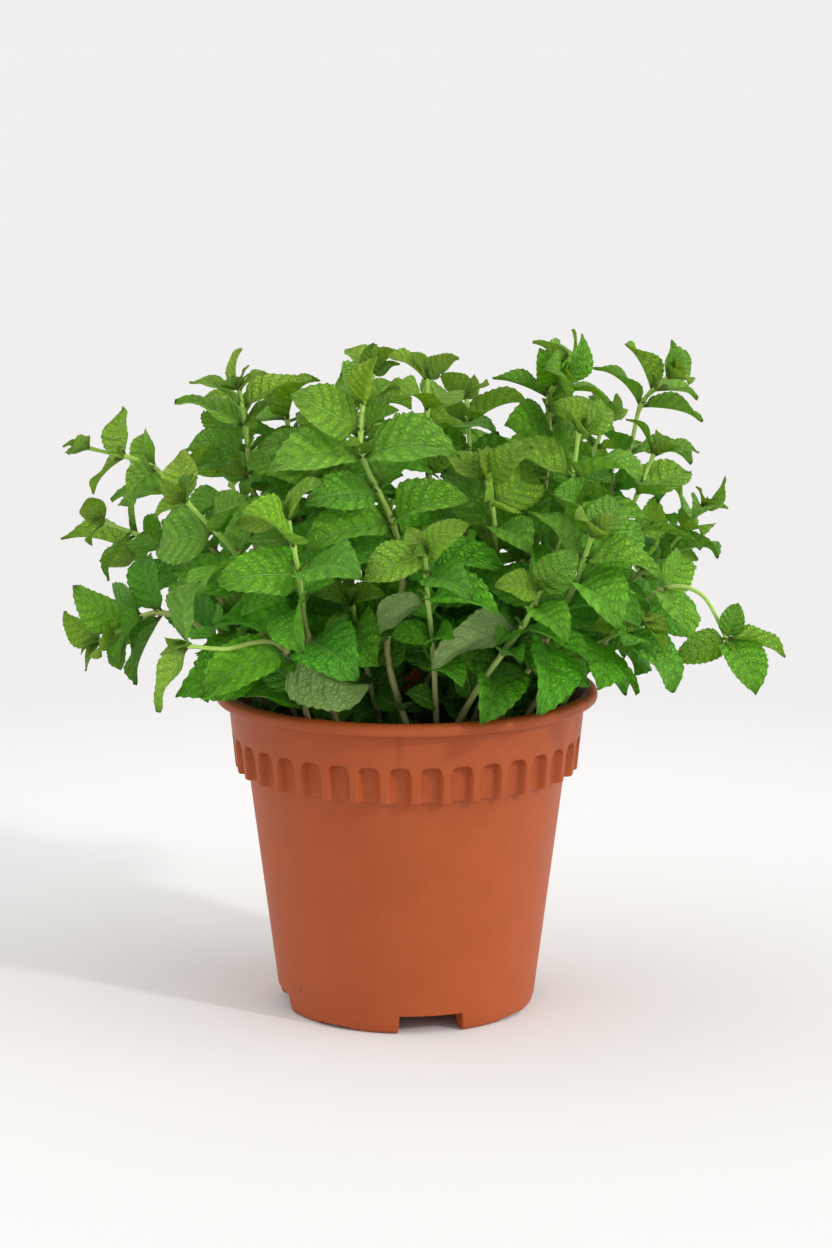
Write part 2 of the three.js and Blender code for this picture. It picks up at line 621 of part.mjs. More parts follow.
// The room of the pot's collar and lip, which leaves keep out of
function collarGuard() {
  const inner = COLLAR_TOP_RADIUS - WALL - GAP;
  return lathe([
    [FLUTE_FLOOR - WALL - 2 * GAP, FLUTE_TOP],
    [collarRadius(FLUTE_TOP) + GAP, FLUTE_TOP],
    [COLLAR_TOP_RADIUS + GAP, LIP_UNDERSIDE - GAP],
    [LIP_RADIUS + GAP, LIP_UNDERSIDE - GAP],
    [LIP_RADIUS + GAP, POT_HEIGHT + GAP],
    [inner, POT_HEIGHT + GAP],
    [inner, LIP_UNDERSIDE],
    [FLUTE_FLOOR - WALL - 2 * GAP, FLUTE_TOP],
  ], POT_SEGMENTS);
}

// A leaf that is a piece of its own starts just clear of its stem
function standOff(leaf) {
  const clear = STAND_OFF * STEM_ROOT_RADIUS + GAP;
  const base = leaf.base.clone().addScaledVector(leaf.direction, clear);
  return { ...leaf, base, length: leaf.length - clear };
}

function growSolids() {
  const leaves = growLeaves();
  const guards = SHOOTS.map((shoot, s) => guardOf(stemGeometry(shoot, GAP), s, false));
  guards.push(guardOf(collarGuard(), null, false));
  const soil = toSolid(soilGeometry(GAP));
  const stems = SHOOTS.map((shoot) => toSolid(stemGeometry(shoot, 0)).subtract(soil));
  const blades = [];
  for (const leaf of leaves) {
    if (leaf.length < SHORTEST_BUILT_LEAF) {
      continue;
    }
    const others = guards.filter((guard) => leaf.own || guard.own || guard.shoot !== leaf.shoot);
    const placed = leaf.own ? standOff(leaf) : leaf;
    const solid = trim(toSolid(leafGeometry(placed, 0)), others, leaf.base);
    if (!solid) {
      continue;
    }
    if (leaf.own) {
      blades.push(solid);
    } else {
      const joined = stems[leaf.shoot].add(solid);
      if (joined.decompose().length > 1) {
        continue;
      }
      stems[leaf.shoot] = joined;
    }
    guards.push(guardOf(leafGeometry(placed, GAP), leaf.shoot, leaf.own));
  }
  return { stems, blades };
}

// ---- The plant in its pot ----

function piece(name, geometry, finish) {
  const mesh = new THREE.Mesh(geometry, new THREE.MeshStandardMaterial(finish));
  mesh.name = name;
  return mesh;
}

const numbered = (stem, i) => `${stem}_${String(i + 1).padStart(2, "0")}`;

const plant = new THREE.Group();
plant.add(piece("pot", toGeometry(potSolid()), TERRACOTTA));
plant.add(piece("soil", soilGeometry(), EARTH));
const { stems, blades } = growSolids();
stems.forEach((solid, i) => plant.add(piece(numbered("stem", i), toGeometry(solid), STEM_GREEN)));
blades.forEach((solid, i) => plant.add(piece(numbered("leaf", i), toGeometry(solid), LEAF_GREEN)));

export default plant;
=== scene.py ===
"""A mint plant in a moulded nursery pot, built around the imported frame."""

import functools
import math

import bpy
import numpy as np
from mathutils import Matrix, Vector


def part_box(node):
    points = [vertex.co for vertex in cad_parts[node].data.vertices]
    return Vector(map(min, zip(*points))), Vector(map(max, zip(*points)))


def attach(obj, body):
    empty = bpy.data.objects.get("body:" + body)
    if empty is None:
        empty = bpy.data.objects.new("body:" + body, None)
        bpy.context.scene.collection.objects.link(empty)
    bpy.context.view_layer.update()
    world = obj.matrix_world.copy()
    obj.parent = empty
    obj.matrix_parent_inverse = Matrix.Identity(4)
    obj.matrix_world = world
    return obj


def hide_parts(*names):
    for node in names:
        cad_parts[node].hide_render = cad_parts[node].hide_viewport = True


bl_info = {
    "name": "Potted mint plant",
    "version": (1, 0, 0),
    "blender": (4, 5, 0),
    "location": "View3D > Sidebar > Mint",
    "description": "Makes a mint plant in a moulded nursery pot, with its soil, stems and leaves",
    "category": "Add Mesh",
}

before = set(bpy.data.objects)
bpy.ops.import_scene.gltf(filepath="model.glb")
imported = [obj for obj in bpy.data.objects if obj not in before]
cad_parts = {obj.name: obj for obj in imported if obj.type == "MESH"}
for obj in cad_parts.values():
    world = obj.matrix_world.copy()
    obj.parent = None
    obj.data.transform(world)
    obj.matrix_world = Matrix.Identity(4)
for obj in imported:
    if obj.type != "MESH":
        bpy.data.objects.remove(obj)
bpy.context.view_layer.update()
POT_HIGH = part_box("pot")[1]
SOIL_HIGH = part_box("soil")[1]

MM = 0.001

# ---- The plant's growth, in millimetres: the rule that the frame's stems and leaves follow ----

# Each shoot is its root on the soil, (x, y), then the places that it passes, (x, y, z), up to its
# growing tip. A leaf pair grows at every place from the one numbered first, and midway between
# places, except on a bare stretch. turn sets the first pair's angle about the stem, and leaf
# scales the shoot's leaves.
SHOOTS = [
    dict(points=[(4, -48), (-7, -60, 152), (-1, -63, 180), (-5, -60, 201), (-16, -55, 225),
                 (-16, -48, 244)],
         first=2, turn=20, leaf=1.15),
    dict(points=[(12, -42), (10, -68, 154), (8, -82, 176), (7, -90, 194)],
         first=2, turn=10, leaf=0.95),
    dict(points=[(14, -36), (27, -62, 139), (43, -76, 165), (49, -84, 180)],
         first=2, turn=0, leaf=0.9),
    dict(points=[(-34, -42), (-45, -70, 155), (-67, -80, 157), (-80, -84, 159)],
         first=1, bare=(1.5, 2.5), turn=40, leaf=1.05),
    dict(points=[(-46, -14), (-73, -30, 151), (-94, -28, 161), (-107, -26, 155), (-118, -24, 149)],
         first=1, bare=(1.5, 1.5), turn=10, leaf=0.9),
    dict(points=[(-44, 4), (-65, 0, 165), (-84, -4, 193), (-97, -8, 214), (-122, -16, 223)],
         first=0.5, turn=60, leaf=0.9),
    dict(points=[(-40, 22), (-77, 26, 160), (-97, 30, 177), (-121, 32, 187)],
         first=1, turn=20, leaf=0.9),
    dict(points=[(-32, 12), (-53, 4, 172), (-60, -2, 209), (-62, -6, 230), (-64, -10, 245)],
         first=0.5, turn=80, leaf=0.9),
    dict(points=[(-38, -28), (-56, -48, 162), (-62, -56, 186), (-81, -62, 209)],
         first=0.5, turn=30, leaf=1.1),
    dict(points=[(-22, -42), (-36, -64, 157), (-39, -80, 185), (-43, -74, 204)],
         first=1, turn=5, leaf=1.1),
    dict(points=[(-24, 18), (-42, 14, 190), (-46, 20, 221), (-48, 26, 236)],
         first=0.5, turn=45, leaf=1),
    dict(points=[(-8, 8), (-18, 6, 184), (-17, 8, 223), (-13, 14, 248)],
         first=0.5, turn=15, leaf=1.1),
    dict(points=[(8, -4), (9, -6, 193), (8, -4, 224), (8, -2, 248)], first=0.5, turn=70, leaf=1.05),
    dict(points=[(12, 26), (24, 30, 188), (25, 36, 215), (24, 42, 235)], first=0.5, turn=0, leaf=1),
    dict(points=[(24, 8), (48, 4, 176), (54, 0, 208), (55, -2, 230), (55, -6, 242), (60, -10, 251)],
         first=0.5, turn=50, leaf=1),
    dict(points=[(38, 14), (72, 16, 182), (87, 18, 216), (92, 16, 236), (102, 12, 247)],
         first=0.5, bare=(2.5, 2.5), turn=25, leaf=0.95),
    dict(points=[(42, -4), (71, -12, 167), (83, -14, 191), (95, -12, 220)],
         first=0.5, turn=0, leaf=1),
    dict(points=[(46, 16), (82, 12, 159), (100, 8, 177), (115, 0, 197)],
         first=0.5, turn=70, leaf=1),
    dict(points=[(42, -22), (77, -34, 152), (96, -42, 172), (111, -44, 171), (121, -47, 154)],
         first=1, bare=(2.5, 3.5), turn=30, leaf=1),
    dict(points=[(38, -32), (56, -41, 138), (73, -53, 154), (87, -64, 165)],
         first=2, turn=60, leaf=1),
    dict(points=[(28, -38), (52, -58, 156), (62, -70, 179), (68, -75, 198)],
         first=1, turn=15, leaf=1.1),
    dict(points=[(18, -18), (32, -36, 171), (33, -52, 197), (30, -54, 216)],
         first=0.5, turn=40, leaf=1.15),
    dict(points=[(26, -12), (49, -26, 166), (60, -36, 198), (65, -36, 232)],
         first=0.5, turn=75, leaf=1.1),
    dict(points=[(-20, -10), (-29, -20, 180), (-29, -28, 212), (-31, -24, 231)],
         first=0.5, turn=55, leaf=1.1),
    dict(points=[(-34, 38), (-58, 62, 162), (-70, 76, 188), (-76, 84, 208)],
         first=0.5, turn=20, leaf=1),
    dict(points=[(-6, 44), (-10, 60, 170), (-10, 74, 202), (-12, 82, 226)],
         first=0.5, turn=50, leaf=1),
    dict(points=[(26, 40), (46, 60, 166), (58, 74, 192), (66, 80, 214)],
         first=0.5, turn=10, leaf=1),
    dict(points=[(-44, 30), (-61, 38, 143), (-86, 48, 162), (-110, 58, 169)],
         first=1, turn=45, leaf=0.95),
    dict(points=[(44, 24), (58, 35, 142), (82, 50, 162), (104, 62, 169)],
         first=1, turn=0, leaf=0.95),
    dict(points=[(6, 54), (14, 80, 150), (18, 92, 158)], first=1, turn=30, leaf=0.95),
    dict(points=[(34, 28), (58, 36, 176), (72, 46, 204), (80, 50, 226)],
         first=0.5, turn=35, leaf=1),
    dict(points=[(-32, 28), (-52, 40, 176), (-60, 50, 206), (-66, 54, 228)],
         first=0.5, turn=65, leaf=1),
    dict(points=[(-8, -30), (-16, -47, 148), (-20, -58, 170)], first=1, turn=25, leaf=1.05),
    dict(points=[(22, -26), (36, -45, 148), (44, -56, 164)], first=1, turn=60, leaf=1.05),
    dict(points=[(-30, -18), (-52, -34, 144), (-64, -40, 158)], first=1, turn=40, leaf=1.05),
    dict(points=[(2, -18), (12, -34, 152), (16, -44, 176)], first=1, turn=75, leaf=1.1),
]

# Leaves posed one by one: the shoot and the place that each grows at, its side, its tip, its roll
POSED = [
    (0, 4, 0, (-53, -66, 220), 0),
    (0, 4, 1, (20, -72, 229), 0),
    (0, 3, 0, (-38, -74, 194), 0),
    (0, 3, 1, (23, -78, 212), 0),
    (1, 3, 0, (-16, -96, 185), 0),
    (1, 3, 1, (23, -96, 206), 0),
    (1, 2, 0, (-12, -88, 165), 100),
    (2, 3, 0, (32, -92, 183), 0),
    (2, 3, 1, (62, -90, 196), 0),
    (2, 2, 0, (9, -86, 151), 110),
    (3, 1, 0, (-12, -86, 143), 150),
    (3, 1, 1, (-76, -80, 139), -20),
    (3, 3, 0, (-77, -92, 185), 0),
    (3, 3, 1, (-91, -92, 136), 60),
    (4, 4, 0, (-131, -30, 162), 0),
    (4, 4, 1, (-124, -22, 137), 0),
    (7, 3, 0, (-89, -6, 241), 0),
    (8, 3, 0, (-93, -66, 203), 0),
    (14, 4, 0, (33, -6, 249), 0),
    (14, 4, 1, (79, -12, 241), 0),
    (14, 5, 0, (64, -12, 268), 0),
    (15, 3, 0, (73, 12, 251), 0),
    (15, 3, 1, (116, 8, 231), 0),
    (17, 3, 0, (124, -2, 210), 0),
    (17, 2, 1, (123, -6, 181), 0),
    (18, 4, 0, (100, -52, 147), 0),
    (18, 4, 1, (143, -52, 150), 0),
    (19, 3, 0, (68, -74, 163), 0),
    (19, 3, 1, (96, -70, 152), 0),
    (27, 3, 0, (-142, 62, 176), 0),
    (29, 2, 0, (26, 111, 152), 0),
]

# Leaves that only the visual model has: the shoot and the place, the tip and the roll
ADDED = [
    (18, 4, (131, -64, 137), 45),
    (18, 4, (125, -44, 168), -60),
    (14, 4.5, (68, -16, 266), -75),
    (14, 4.5, (51, -19, 261), -85),
    (15, 4, (103, 8, 262), -60),
]

LIP_RADIUS = 75
POT_HEIGHT = 127
SOIL_LEVEL = 112
ROOT_DEPTH = 3
STEM_ROOT_RADIUS = 1.7
STEM_TIP_RADIUS = 1
LEAF_LENGTH = 35
TIP_PAIR_SHARE = 0.52
BUD_PAIR_SHARE = 0.34
LEAF_WIDTH_SHARE = 0.66
PETIOLE_SHARE = 0.12
PETIOLE_RADIUS = 0.7
SHORTEST_OWN_LEAF = 22
LEAF_CLEARANCE = 5
SWINGS = (0, 24, -24, 46, -46)
LIFTS = (0, 20, -20)
LEAF_BEND, BEND_SPREAD = 42, 24
LEAF_CUP, CUP_SPREAD = 16, 10
WIDTH_SPREAD = 0.06
LENGTH_SPREAD = 0.12
SIDE_OPENNESS, TIP_OPENNESS, BUD_OPENNESS = 68, 50, 24
ANGLE_SPREAD = 14
ROLL_SPREAD = 25
SHORTENING = 0.3
SINK = 0.15
FACING_OUT, FACING_UP, FACING_ALONG = 0.9, 0.7, 0.2
OUTLINE_SCALE, BASE_ROUNDNESS, TIP_ROUNDNESS = 1.245, 0.55, 0.8
POINTED_SCALE, POINTED_BASE, POINTED_TIP = 1.24, 0.5, 0.94
PROBE_STATIONS = (0.35, 0.6, 0.85)
PROBE_SIDES = (-0.7, 0, 0.7)
HIDDEN_PALLOR = 0.3
STEM_SAMPLES = 8
CLEAR_OF_LIP = 2
CLEAR_ABOVE_POT = 5
SEEDS_PER_SHOOT = 100
POSED_SEEDS = 9000
TANGENT_STEP = 0.0001
UP = np.array((0.0, 0.0, 1.0))


def jitter(n):
    """A repeatable stand-in for chance, from -1 to 1."""
    wave = math.sin(n * 12.9898 + 4.1414) * 43758.5453
    return 2 * (wave - math.floor(wave)) - 1


def unit(vector):
    return vector / np.linalg.norm(vector)


class Shoot:
    """A stem's smooth line through its places, and its leaf pairs."""

    def __init__(self, points, first, turn, leaf, bare=None):
        self.points = [np.array((*points[0], SOIL_LEVEL - ROOT_DEPTH), float)]
        self.points += [np.array(point, float) for point in points[1:]]
        self.last = len(self.points) - 1
        self.first, self.turn, self.leaf = first, turn, leaf
        self.bare = bare or (self.last + 1, self.last + 1)
        before, after = 2 * self.points[0] - self.points[1], 2 * self.points[-1] - self.points[-2]
        self.reach = [before, *self.points, after]
        lean = self.points[-1] - self.points[0]
        self.lean = unit(np.array((lean[0], lean[1], 0.0)))

    def point(self, t):
        span = min(int(t * self.last), self.last - 1)
        w = t * self.last - span
        p0, p1, p2, p3 = self.reach[span : span + 4]
        rise, fall = (p2 - p0) / 2, (p3 - p1) / 2
        cubic = 2 * p1 - 2 * p2 + rise + fall
        square = -3 * p1 + 3 * p2 - 2 * rise - fall
        return p1 + w * (rise + w * (square + w * cubic))

    def tangent(self, t):
        after = self.point(min(t + TANGENT_STEP, 1))
        return unit(after - self.point(max(t - TANGENT_STEP, 0)))

    def node(self, at):
        """The base and the stem's direction for a leaf at a place."""
        t = at / self.last
        tangent = self.tangent(t)
        return self.point(t) - STEM_TIP_RADIUS * tangent, tangent

    def sides(self, tangent):
        across = np.cross(self.lean, UP)
        across = unit(across - tangent * across.dot(tangent))
        return across, np.cross(tangent, across)

    def places(self):
        steps = int((self.last - self.first) * 2) + 1
        found = [self.first + 0.5 * i for i in range(steps)]
        return [at for at in found if at < self.bare[0] or at > self.bare[1]]


class Leaf:
    """A leaf's place and shape. youth is 0 for a full-grown leaf and 1 for one at a growing tip.
    pallor is how grey its underside is: a leaf that is turned over shows it whole."""

    def __init__(self, base, tangent, direction, length, roll, seed):
        self.base, self.direction, self.length = base, direction, length
        self.bend = math.radians(LEAF_BEND + BEND_SPREAD * jitter(seed))
        self.cup = math.radians(LEAF_CUP + CUP_SPREAD * jitter(seed + 0.3))
        self.width = length * (LEAF_WIDTH_SHARE + WIDTH_SPREAD * jitter(seed + 0.6))
        outward = unit(np.array((base[0], base[1], 0.0)))
        face = FACING_OUT * outward + FACING_UP * UP + FACING_ALONG * tangent
        face = unit(face - direction * face.dot(direction))
        turn = math.radians(roll)
        self.face = face * math.cos(turn) + np.cross(direction, face) * math.sin(turn)
        self.chance = 0.5 + 0.5 * jitter(seed + 0.77)
        self.youth = 0.0
        self.pallor = 1.0 if abs(roll) > 90 else HIDDEN_PALLOR

    def half_width(self, s):
        u = max(0.0, (s - PETIOLE_SHARE) / (1 - PETIOLE_SHARE))
        outline = OUTLINE_SCALE * u**BASE_ROUNDNESS * (1 - u) ** TIP_ROUNDNESS
        return PETIOLE_RADIUS * (1 - u) + self.width * outline

    def point(self, s, v):
        half = self.bend / 2
        turn = self.bend * (s - 0.5)
        along = (math.sin(turn) + math.sin(half)) / (2 * math.sin(half))
        bulge = (math.cos(turn) - math.cos(half)) / (2 * math.sin(half))
        width = self.half_width(s)
        height = abs(v) * width * math.sin(self.cup)
        side = np.cross(self.face, self.direction)
        forward = self.direction * (self.length * along + height * math.sin(turn))
        lift = self.face * (self.length * bulge + height * math.cos(turn))
        return self.base + forward + lift + side * (v * width * math.cos(self.cup))

    def probe(self):
        points = [self.point(1, 0)]
        points += [self.point(s, v) for s in PROBE_STATIONS for v in PROBE_SIDES]
        return np.array(points)


def leaf_to(shoot, at, tip, roll, seed):
    """A leaf from a place on a shoot to where its tip is."""
    base, tangent = shoot.node(at)
    reach = np.array(tip, float) - base
    length = np.linalg.norm(reach)
    return Leaf(base, tangent, reach / length, length, roll, seed)


def opened_out(sides, tangent, angle, openness):
    """The way straight out of a stem at an angle about it, and the way that a leaf opens to."""
    across, in_plane = sides
    about, opened = math.radians(angle), math.radians(openness)
    out = across * math.cos(about) + in_plane * math.sin(about)
    return out, tangent * math.cos(opened) + out * math.sin(opened)


def room(points, taken):
    """How clear of the taken points, and of the pot, a leaf's probe points are."""
    near_pot = np.hypot(points[:, 0], points[:, 1]) < LIP_RADIUS + CLEAR_OF_LIP
    if np.any(near_pot & (points[:, 2] < POT_HEIGHT + CLEAR_ABOVE_POT)):
        return 0.0
    if not len(taken):
        return LEAF_CLEARANCE
    gaps = np.linalg.norm(points[:, None] - taken[None], axis=2)
    return min(LEAF_CLEARANCE, gaps.min())


def settle(shoot, node, angle, openness, length, seed, taken):
    """Turns a leaf about its stem, and opens or closes it, until it has room."""
    base, tangent = node
    sides = shoot.sides(tangent)
    close = taken[np.linalg.norm(taken - base, axis=1) < 1.3 * length + 2 * LEAF_CLEARANCE]
    best, best_room = None, -1
    for lift in LIFTS:
        for swing in SWINGS:
            _, direction = opened_out(sides, tangent, angle + swing, openness + lift)
            roll = ROLL_SPREAD * jitter(seed + 0.9)
            leaf = Leaf(base, tangent, unit(direction - SINK * UP), length, roll, seed)
            clear = room(leaf.probe(), close)
            if clear > best_room + 1e-6:
                best, best_room = leaf, clear
            if clear >= LEAF_CLEARANCE:
                return leaf
    return best


@functools.cache
def grown():
    """All shoots, and each shoot's leaves and own leaves, as the frame has them."""
    shoots = [Shoot(**shoot) for shoot in SHOOTS]
    joined = [[] for _ in shoots]
    own = []
    samples = [
        shoot.point(i / (STEM_SAMPLES * shoot.last))
        for shoot in shoots
        for i in range(STEM_SAMPLES * shoot.last + 1)
    ]
    taken = np.array(samples)
    for i, (s, at, _side, tip, roll) in enumerate(POSED):
        leaf = leaf_to(shoots[s], at, tip, roll, POSED_SEEDS + i)
        leaf.youth = min(1, 0.5 * at / shoots[s].last + 0.3 * leaf.chance)
        (own if leaf.length >= SHORTEST_OWN_LEAF else joined[s]).append(leaf)
        taken = np.vstack((taken, leaf.probe()))
    posed_at = {(s, at, side) for s, at, side, _tip, _roll in POSED}
    for s, shoot in enumerate(shoots):
        places = shoot.places()
        for n, at in enumerate(places):
            height = n / len(places)
            pairs = [(1 - SHORTENING * height, SIDE_OPENNESS)]
            if n == len(places) - 1:
                pairs = [(TIP_PAIR_SHARE, TIP_OPENNESS), (BUD_PAIR_SHARE, BUD_OPENNESS)]
            for p, (share, openness) in enumerate(pairs):
                for side in (0, 1):
                    if p == 0 and (s, at, side) in posed_at:
                        continue
                    seed = SEEDS_PER_SHOOT * s + 4 * n + 2 * p + side
                    stray = ANGLE_SPREAD * jitter(seed + 0.1)
                    angle = shoot.turn + 90 * (n + p) + 180 * side + stray
                    length = LEAF_LENGTH * shoot.leaf * share
                    length = length * (1 + LENGTH_SPREAD * jitter(seed + 0.2))
                    leaf = settle(shoot, shoot.node(at), angle, openness, length, seed, taken)
                    by_size = 0.75 * (1 - share) ** 0.7
                    leaf.youth = min(1, 0.7 * height**2 + by_size + 0.2 * leaf.chance)
                    joined[s].append(leaf)
                    taken = np.vstack((taken, leaf.probe()))
    return shoots, joined, own


# Sprigs: the chance of one, how far from the pot's axis they grow, and their leaves
SPRIG_CHANCE, SPRIG_REACH = 0.3, 72
SPRIG_LEAVES, SPRIG_STEP, SPRIG_OPENNESS = 4, 2.6, 46
SPRIG_LEAF, SPRIG_SHORTENING = 14.5, 3.5
SPRIG_SPREAD, SPRIG_CLOSING = 62, 12
SPRIG_TURNING, SPRIG_OPENING, SPRIG_LEAF_SPREAD = 25, 14, 0.25
# Low leaves: their places as shares of the bare stem, and how they stand
LOW_PLACES = (0.22, 0.4, 0.58, 0.76)
LOW_LEAF, LOW_OPENNESS = 19, 62
LOW_TURNING, LOW_OPENING, LOW_LEAF_SPREAD = 60, 16, 0.3
POT_INSIDE = 62
# Buds: in the angle of a pair, and at the growing tip
SIDE_BUD, SIDE_BUD_OPENNESS = 6, 38
TIP_BUD, TIP_BUD_OPENNESS, TIP_BUD_STEP = 7.5, 12, 8
BUD_TURNING, SIDE_BUD_OPENING, BUD_SPREAD = 20, 12, 0.35
BUD_WIDTH_SHARE = 0.5
ADDED_YOUTH = 0.45
# Where a small leaf is tested against the others, and the least gap that it keeps
CLEAR_STATIONS = (0.2, 0.35, 0.5, 0.65, 0.8, 0.95)
CLEAR_SIDES = (-0.8, -0.4, 0, 0.4, 0.8)
CLEAR_GAP = 2.4
SPRIG_SEEDS, ADDED_SEEDS, LOW_SEEDS, BUD_SEEDS = 7000, 9500, 12000, 5000


def sprigs(shoot, s):
    """Small young leaves on short side shoots, in the angle of each leaf pair below the tip."""
    found = []
    for n, at in enumerate(shoot.places()[:-1]):
        base, tangent = shoot.node(at)
        sides = shoot.sides(tangent)
        for side in (0, 1):
            seed = SPRIG_SEEDS + SEEDS_PER_SHOOT * s + 10 * n + 5 * side
            if jitter(seed) > SPRIG_CHANCE or math.hypot(base[0], base[1]) > SPRIG_REACH:
                continue
            angle = shoot.turn + 90 * n + 180 * side + SPRIG_TURNING * jitter(seed + 0.1)
            openness = SPRIG_OPENNESS + SPRIG_OPENING * jitter(seed + 0.2)
            out, axis = opened_out(sides, tangent, angle, openness)
            sideways = unit(np.cross(axis, out + 0.3 * tangent))
            upright = np.cross(sideways, axis)
            for i in range(SPRIG_LEAVES):
                pair = i // 2
                turn = math.radians(90 * pair + 180 * i + 20 * jitter(seed + i))
                spread = sideways * math.cos(turn) + upright * math.sin(turn)
                apart = math.radians(SPRIG_SPREAD - SPRIG_CLOSING * pair)
                direction = unit(axis * math.cos(apart) + spread * math.sin(apart))
                length = SPRIG_LEAF - SPRIG_SHORTENING * pair
                length = length * (1 + SPRIG_LEAF_SPREAD * jitter(seed + 0.5 + i))
                start = base + axis * SPRIG_STEP * (1 + pair)
                leaf = Leaf(start, axis, direction, length, 0, seed + i)
                leaf.youth = 0.5 + 0.3 * leaf.chance
                found.append(leaf)
    return found


def low_leaves(shoot, s):
    """Older leaves low on the stem, which fill the space just above the soil."""
    found = []
    for n, share in enumerate(LOW_PLACES):
        base, tangent = shoot.node(share * max(shoot.first, 0.5))
        sides = shoot.sides(tangent)
        for side in (0, 1):
            seed = LOW_SEEDS + SEEDS_PER_SHOOT * s + 4 * n + side
            angle = 90 * n + 180 * side + LOW_TURNING * jitter(seed)
            openness = LOW_OPENNESS + LOW_OPENING * jitter(seed + 0.2)
            _, direction = opened_out(sides, tangent, angle, openness)
            length = LOW_LEAF * (1 + LOW_LEAF_SPREAD * jitter(seed + 0.5))
            roll = ROLL_SPREAD * jitter(seed + 0.9)
            leaf = Leaf(base, tangent, unit(direction), length, roll, seed)
            probe = leaf.probe()
            inside = np.hypot(probe[:, 0], probe[:, 1]) < POT_INSIDE
            above = probe[:, 2] > POT_HEIGHT + CLEAR_ABOVE_POT - 1
            if np.all((inside | above) & (probe[:, 2] > SOIL_LEVEL)):
                leaf.youth = 0.25 * leaf.chance
                found.append(leaf)
    return found


def spots_on(leaves):
    """Points spread over each leaf."""
    places = [(t, v) for t in CLEAR_STATIONS for v in CLEAR_SIDES]
    return np.array([leaf.point(t, v) for leaf in leaves for t, v in places])


def is_clear(leaf, spots):
    """Whether a leaf stays clear of spots on other leaves."""
    near = spots[np.linalg.norm(spots - leaf.base, axis=1) < leaf.length + 2 * CLEAR_GAP]
    if not len(near):
        return True
    return np.linalg.norm(leaf.probe()[:, None] - near[None], axis=2).min() > CLEAR_GAP


def added_leaves(shoot, s):
    found = []
    for i, (owner, at, tip, roll) in enumerate(ADDED):
        if owner == s:
            leaf = leaf_to(shoot, at, tip, roll, ADDED_SEEDS + i)
            leaf.youth = ADDED_YOUTH
            found.append(leaf)
    return found


def buds(shoot, s):
    """The tiny leaves in the angle of each pair, and the closed pair at the growing tip."""
    found = []
    places = shoot.places()
    for n, at in enumerate(places):
        base, tangent = shoot.node(at)
        sides = shoot.sides(tangent)
        at_tip = n == len(places) - 1
        for side in range(4 if at_tip else 2):
            seed = BUD_SEEDS + SEEDS_PER_SHOOT * s + 4 * n + side
            second_pair = 45 if side > 1 else 0
            angle = shoot.turn + 90 * n + 180 * side + second_pair + BUD_TURNING * jitter(seed)
            openness = SIDE_BUD_OPENNESS + SIDE_BUD_OPENING * jitter(seed + 0.4)
            if at_tip:
                openness = TIP_BUD_OPENNESS + TIP_BUD_STEP * side
            out, direction = opened_out(sides, tangent, angle, openness)
            direction = unit(direction)
            length = (TIP_BUD if at_tip else SIDE_BUD) * (1 + BUD_SPREAD * jitter(seed + 0.2))
            leaf = Leaf(base, tangent, direction, length, 0, seed)
            face = tangent - out * 0.4
            leaf.face = unit(face - direction * face.dot(direction))
            leaf.width = length * BUD_WIDTH_SHARE
            leaf.youth = 1.0
            found.append(leaf)
    return found


# ---- Node trees written as sums ----


def feed(tree, socket, value):
    """Links a value to a socket, or sets the socket to a plain number, colour or vector."""
    if isinstance(value, Value):
        tree.links.new(value.socket, socket)
    elif isinstance(value, bpy.types.NodeSocket):
        tree.links.new(value, socket)
    else:
        socket.default_value = value


class Value:
    """A number in a node tree. Sums of Values make math nodes."""

    def __init__(self, tree, socket):
        self.tree, self.socket = tree, socket

    def math(self, operation, *inputs):
        node = self.tree.nodes.new("ShaderNodeMath")
        node.operation = operation
        for socket, value in zip(node.inputs, inputs):
            feed(self.tree, socket, value)
        return Value(self.tree, node.outputs[0])

    def __add__(self, other):
        return self.math("ADD", self, other)

    __radd__ = __add__

    def __mul__(self, other):
        return self.math("MULTIPLY", self, other)

    __rmul__ = __mul__

    def __sub__(self, other):
        return self.math("SUBTRACT", self, other)

    def __rsub__(self, other):
        return self.math("SUBTRACT", other, self)

    def __truediv__(self, other):
        return self.math("DIVIDE", self, other)

    def __pow__(self, other):
        return self.math("POWER", self, other)

    def __abs__(self):
        return self.math("ABSOLUTE", self)

    def sin(self):
        return self.math("SINE", self)

    def cos(self):
        return self.math("COSINE", self)

    def sign(self):
        return self.math("SIGN", self)

    def least(self, other):
        return self.math("MINIMUM", self, other)

    def most(self, other):
        return self.math("MAXIMUM", self, other)

    def fraction(self):
        return self.math("FRACT", self)

    def over(self, limit):
        return self.math("GREATER_THAN", self, limit)

    def smooth(self, low, high, to_low=0.0, to_high=1.0):
        node = self.tree.nodes.new("ShaderNodeMapRange")
        node.interpolation_type = "SMOOTHSTEP"
        for name, value in (("Value", self), ("From Min", low), ("From Max", high),
                            ("To Min", to_low), ("To Max", to_high)):
            feed(self.tree, node.inputs[name], value)
        return Value(self.tree, node.outputs["Result"])


def place(tree, kind, inputs=None, **settings):
    """Adds a node, with its settings and its inputs by name or number, and returns it."""
    node = tree.nodes.new(kind)
    for name, value in settings.items():
        setattr(node, name, value)
    for name, value in (inputs or {}).items():
        feed(tree, node.inputs[name], value)
    return node


def vector_math(tree, operation, *inputs, scale=None):
    node = place(tree, "ShaderNodeVectorMath", operation=operation)
    for socket, value in zip(node.inputs, inputs):
        feed(tree, socket, value)
    if scale is not None:
        feed(tree, node.inputs["Scale"], scale)
    return Value(tree, node.outputs[0])


def split(tree, vector):
    node = place(tree, "ShaderNodeSeparateXYZ", {0: vector})
    return [Value(tree, socket) for socket in node.outputs]


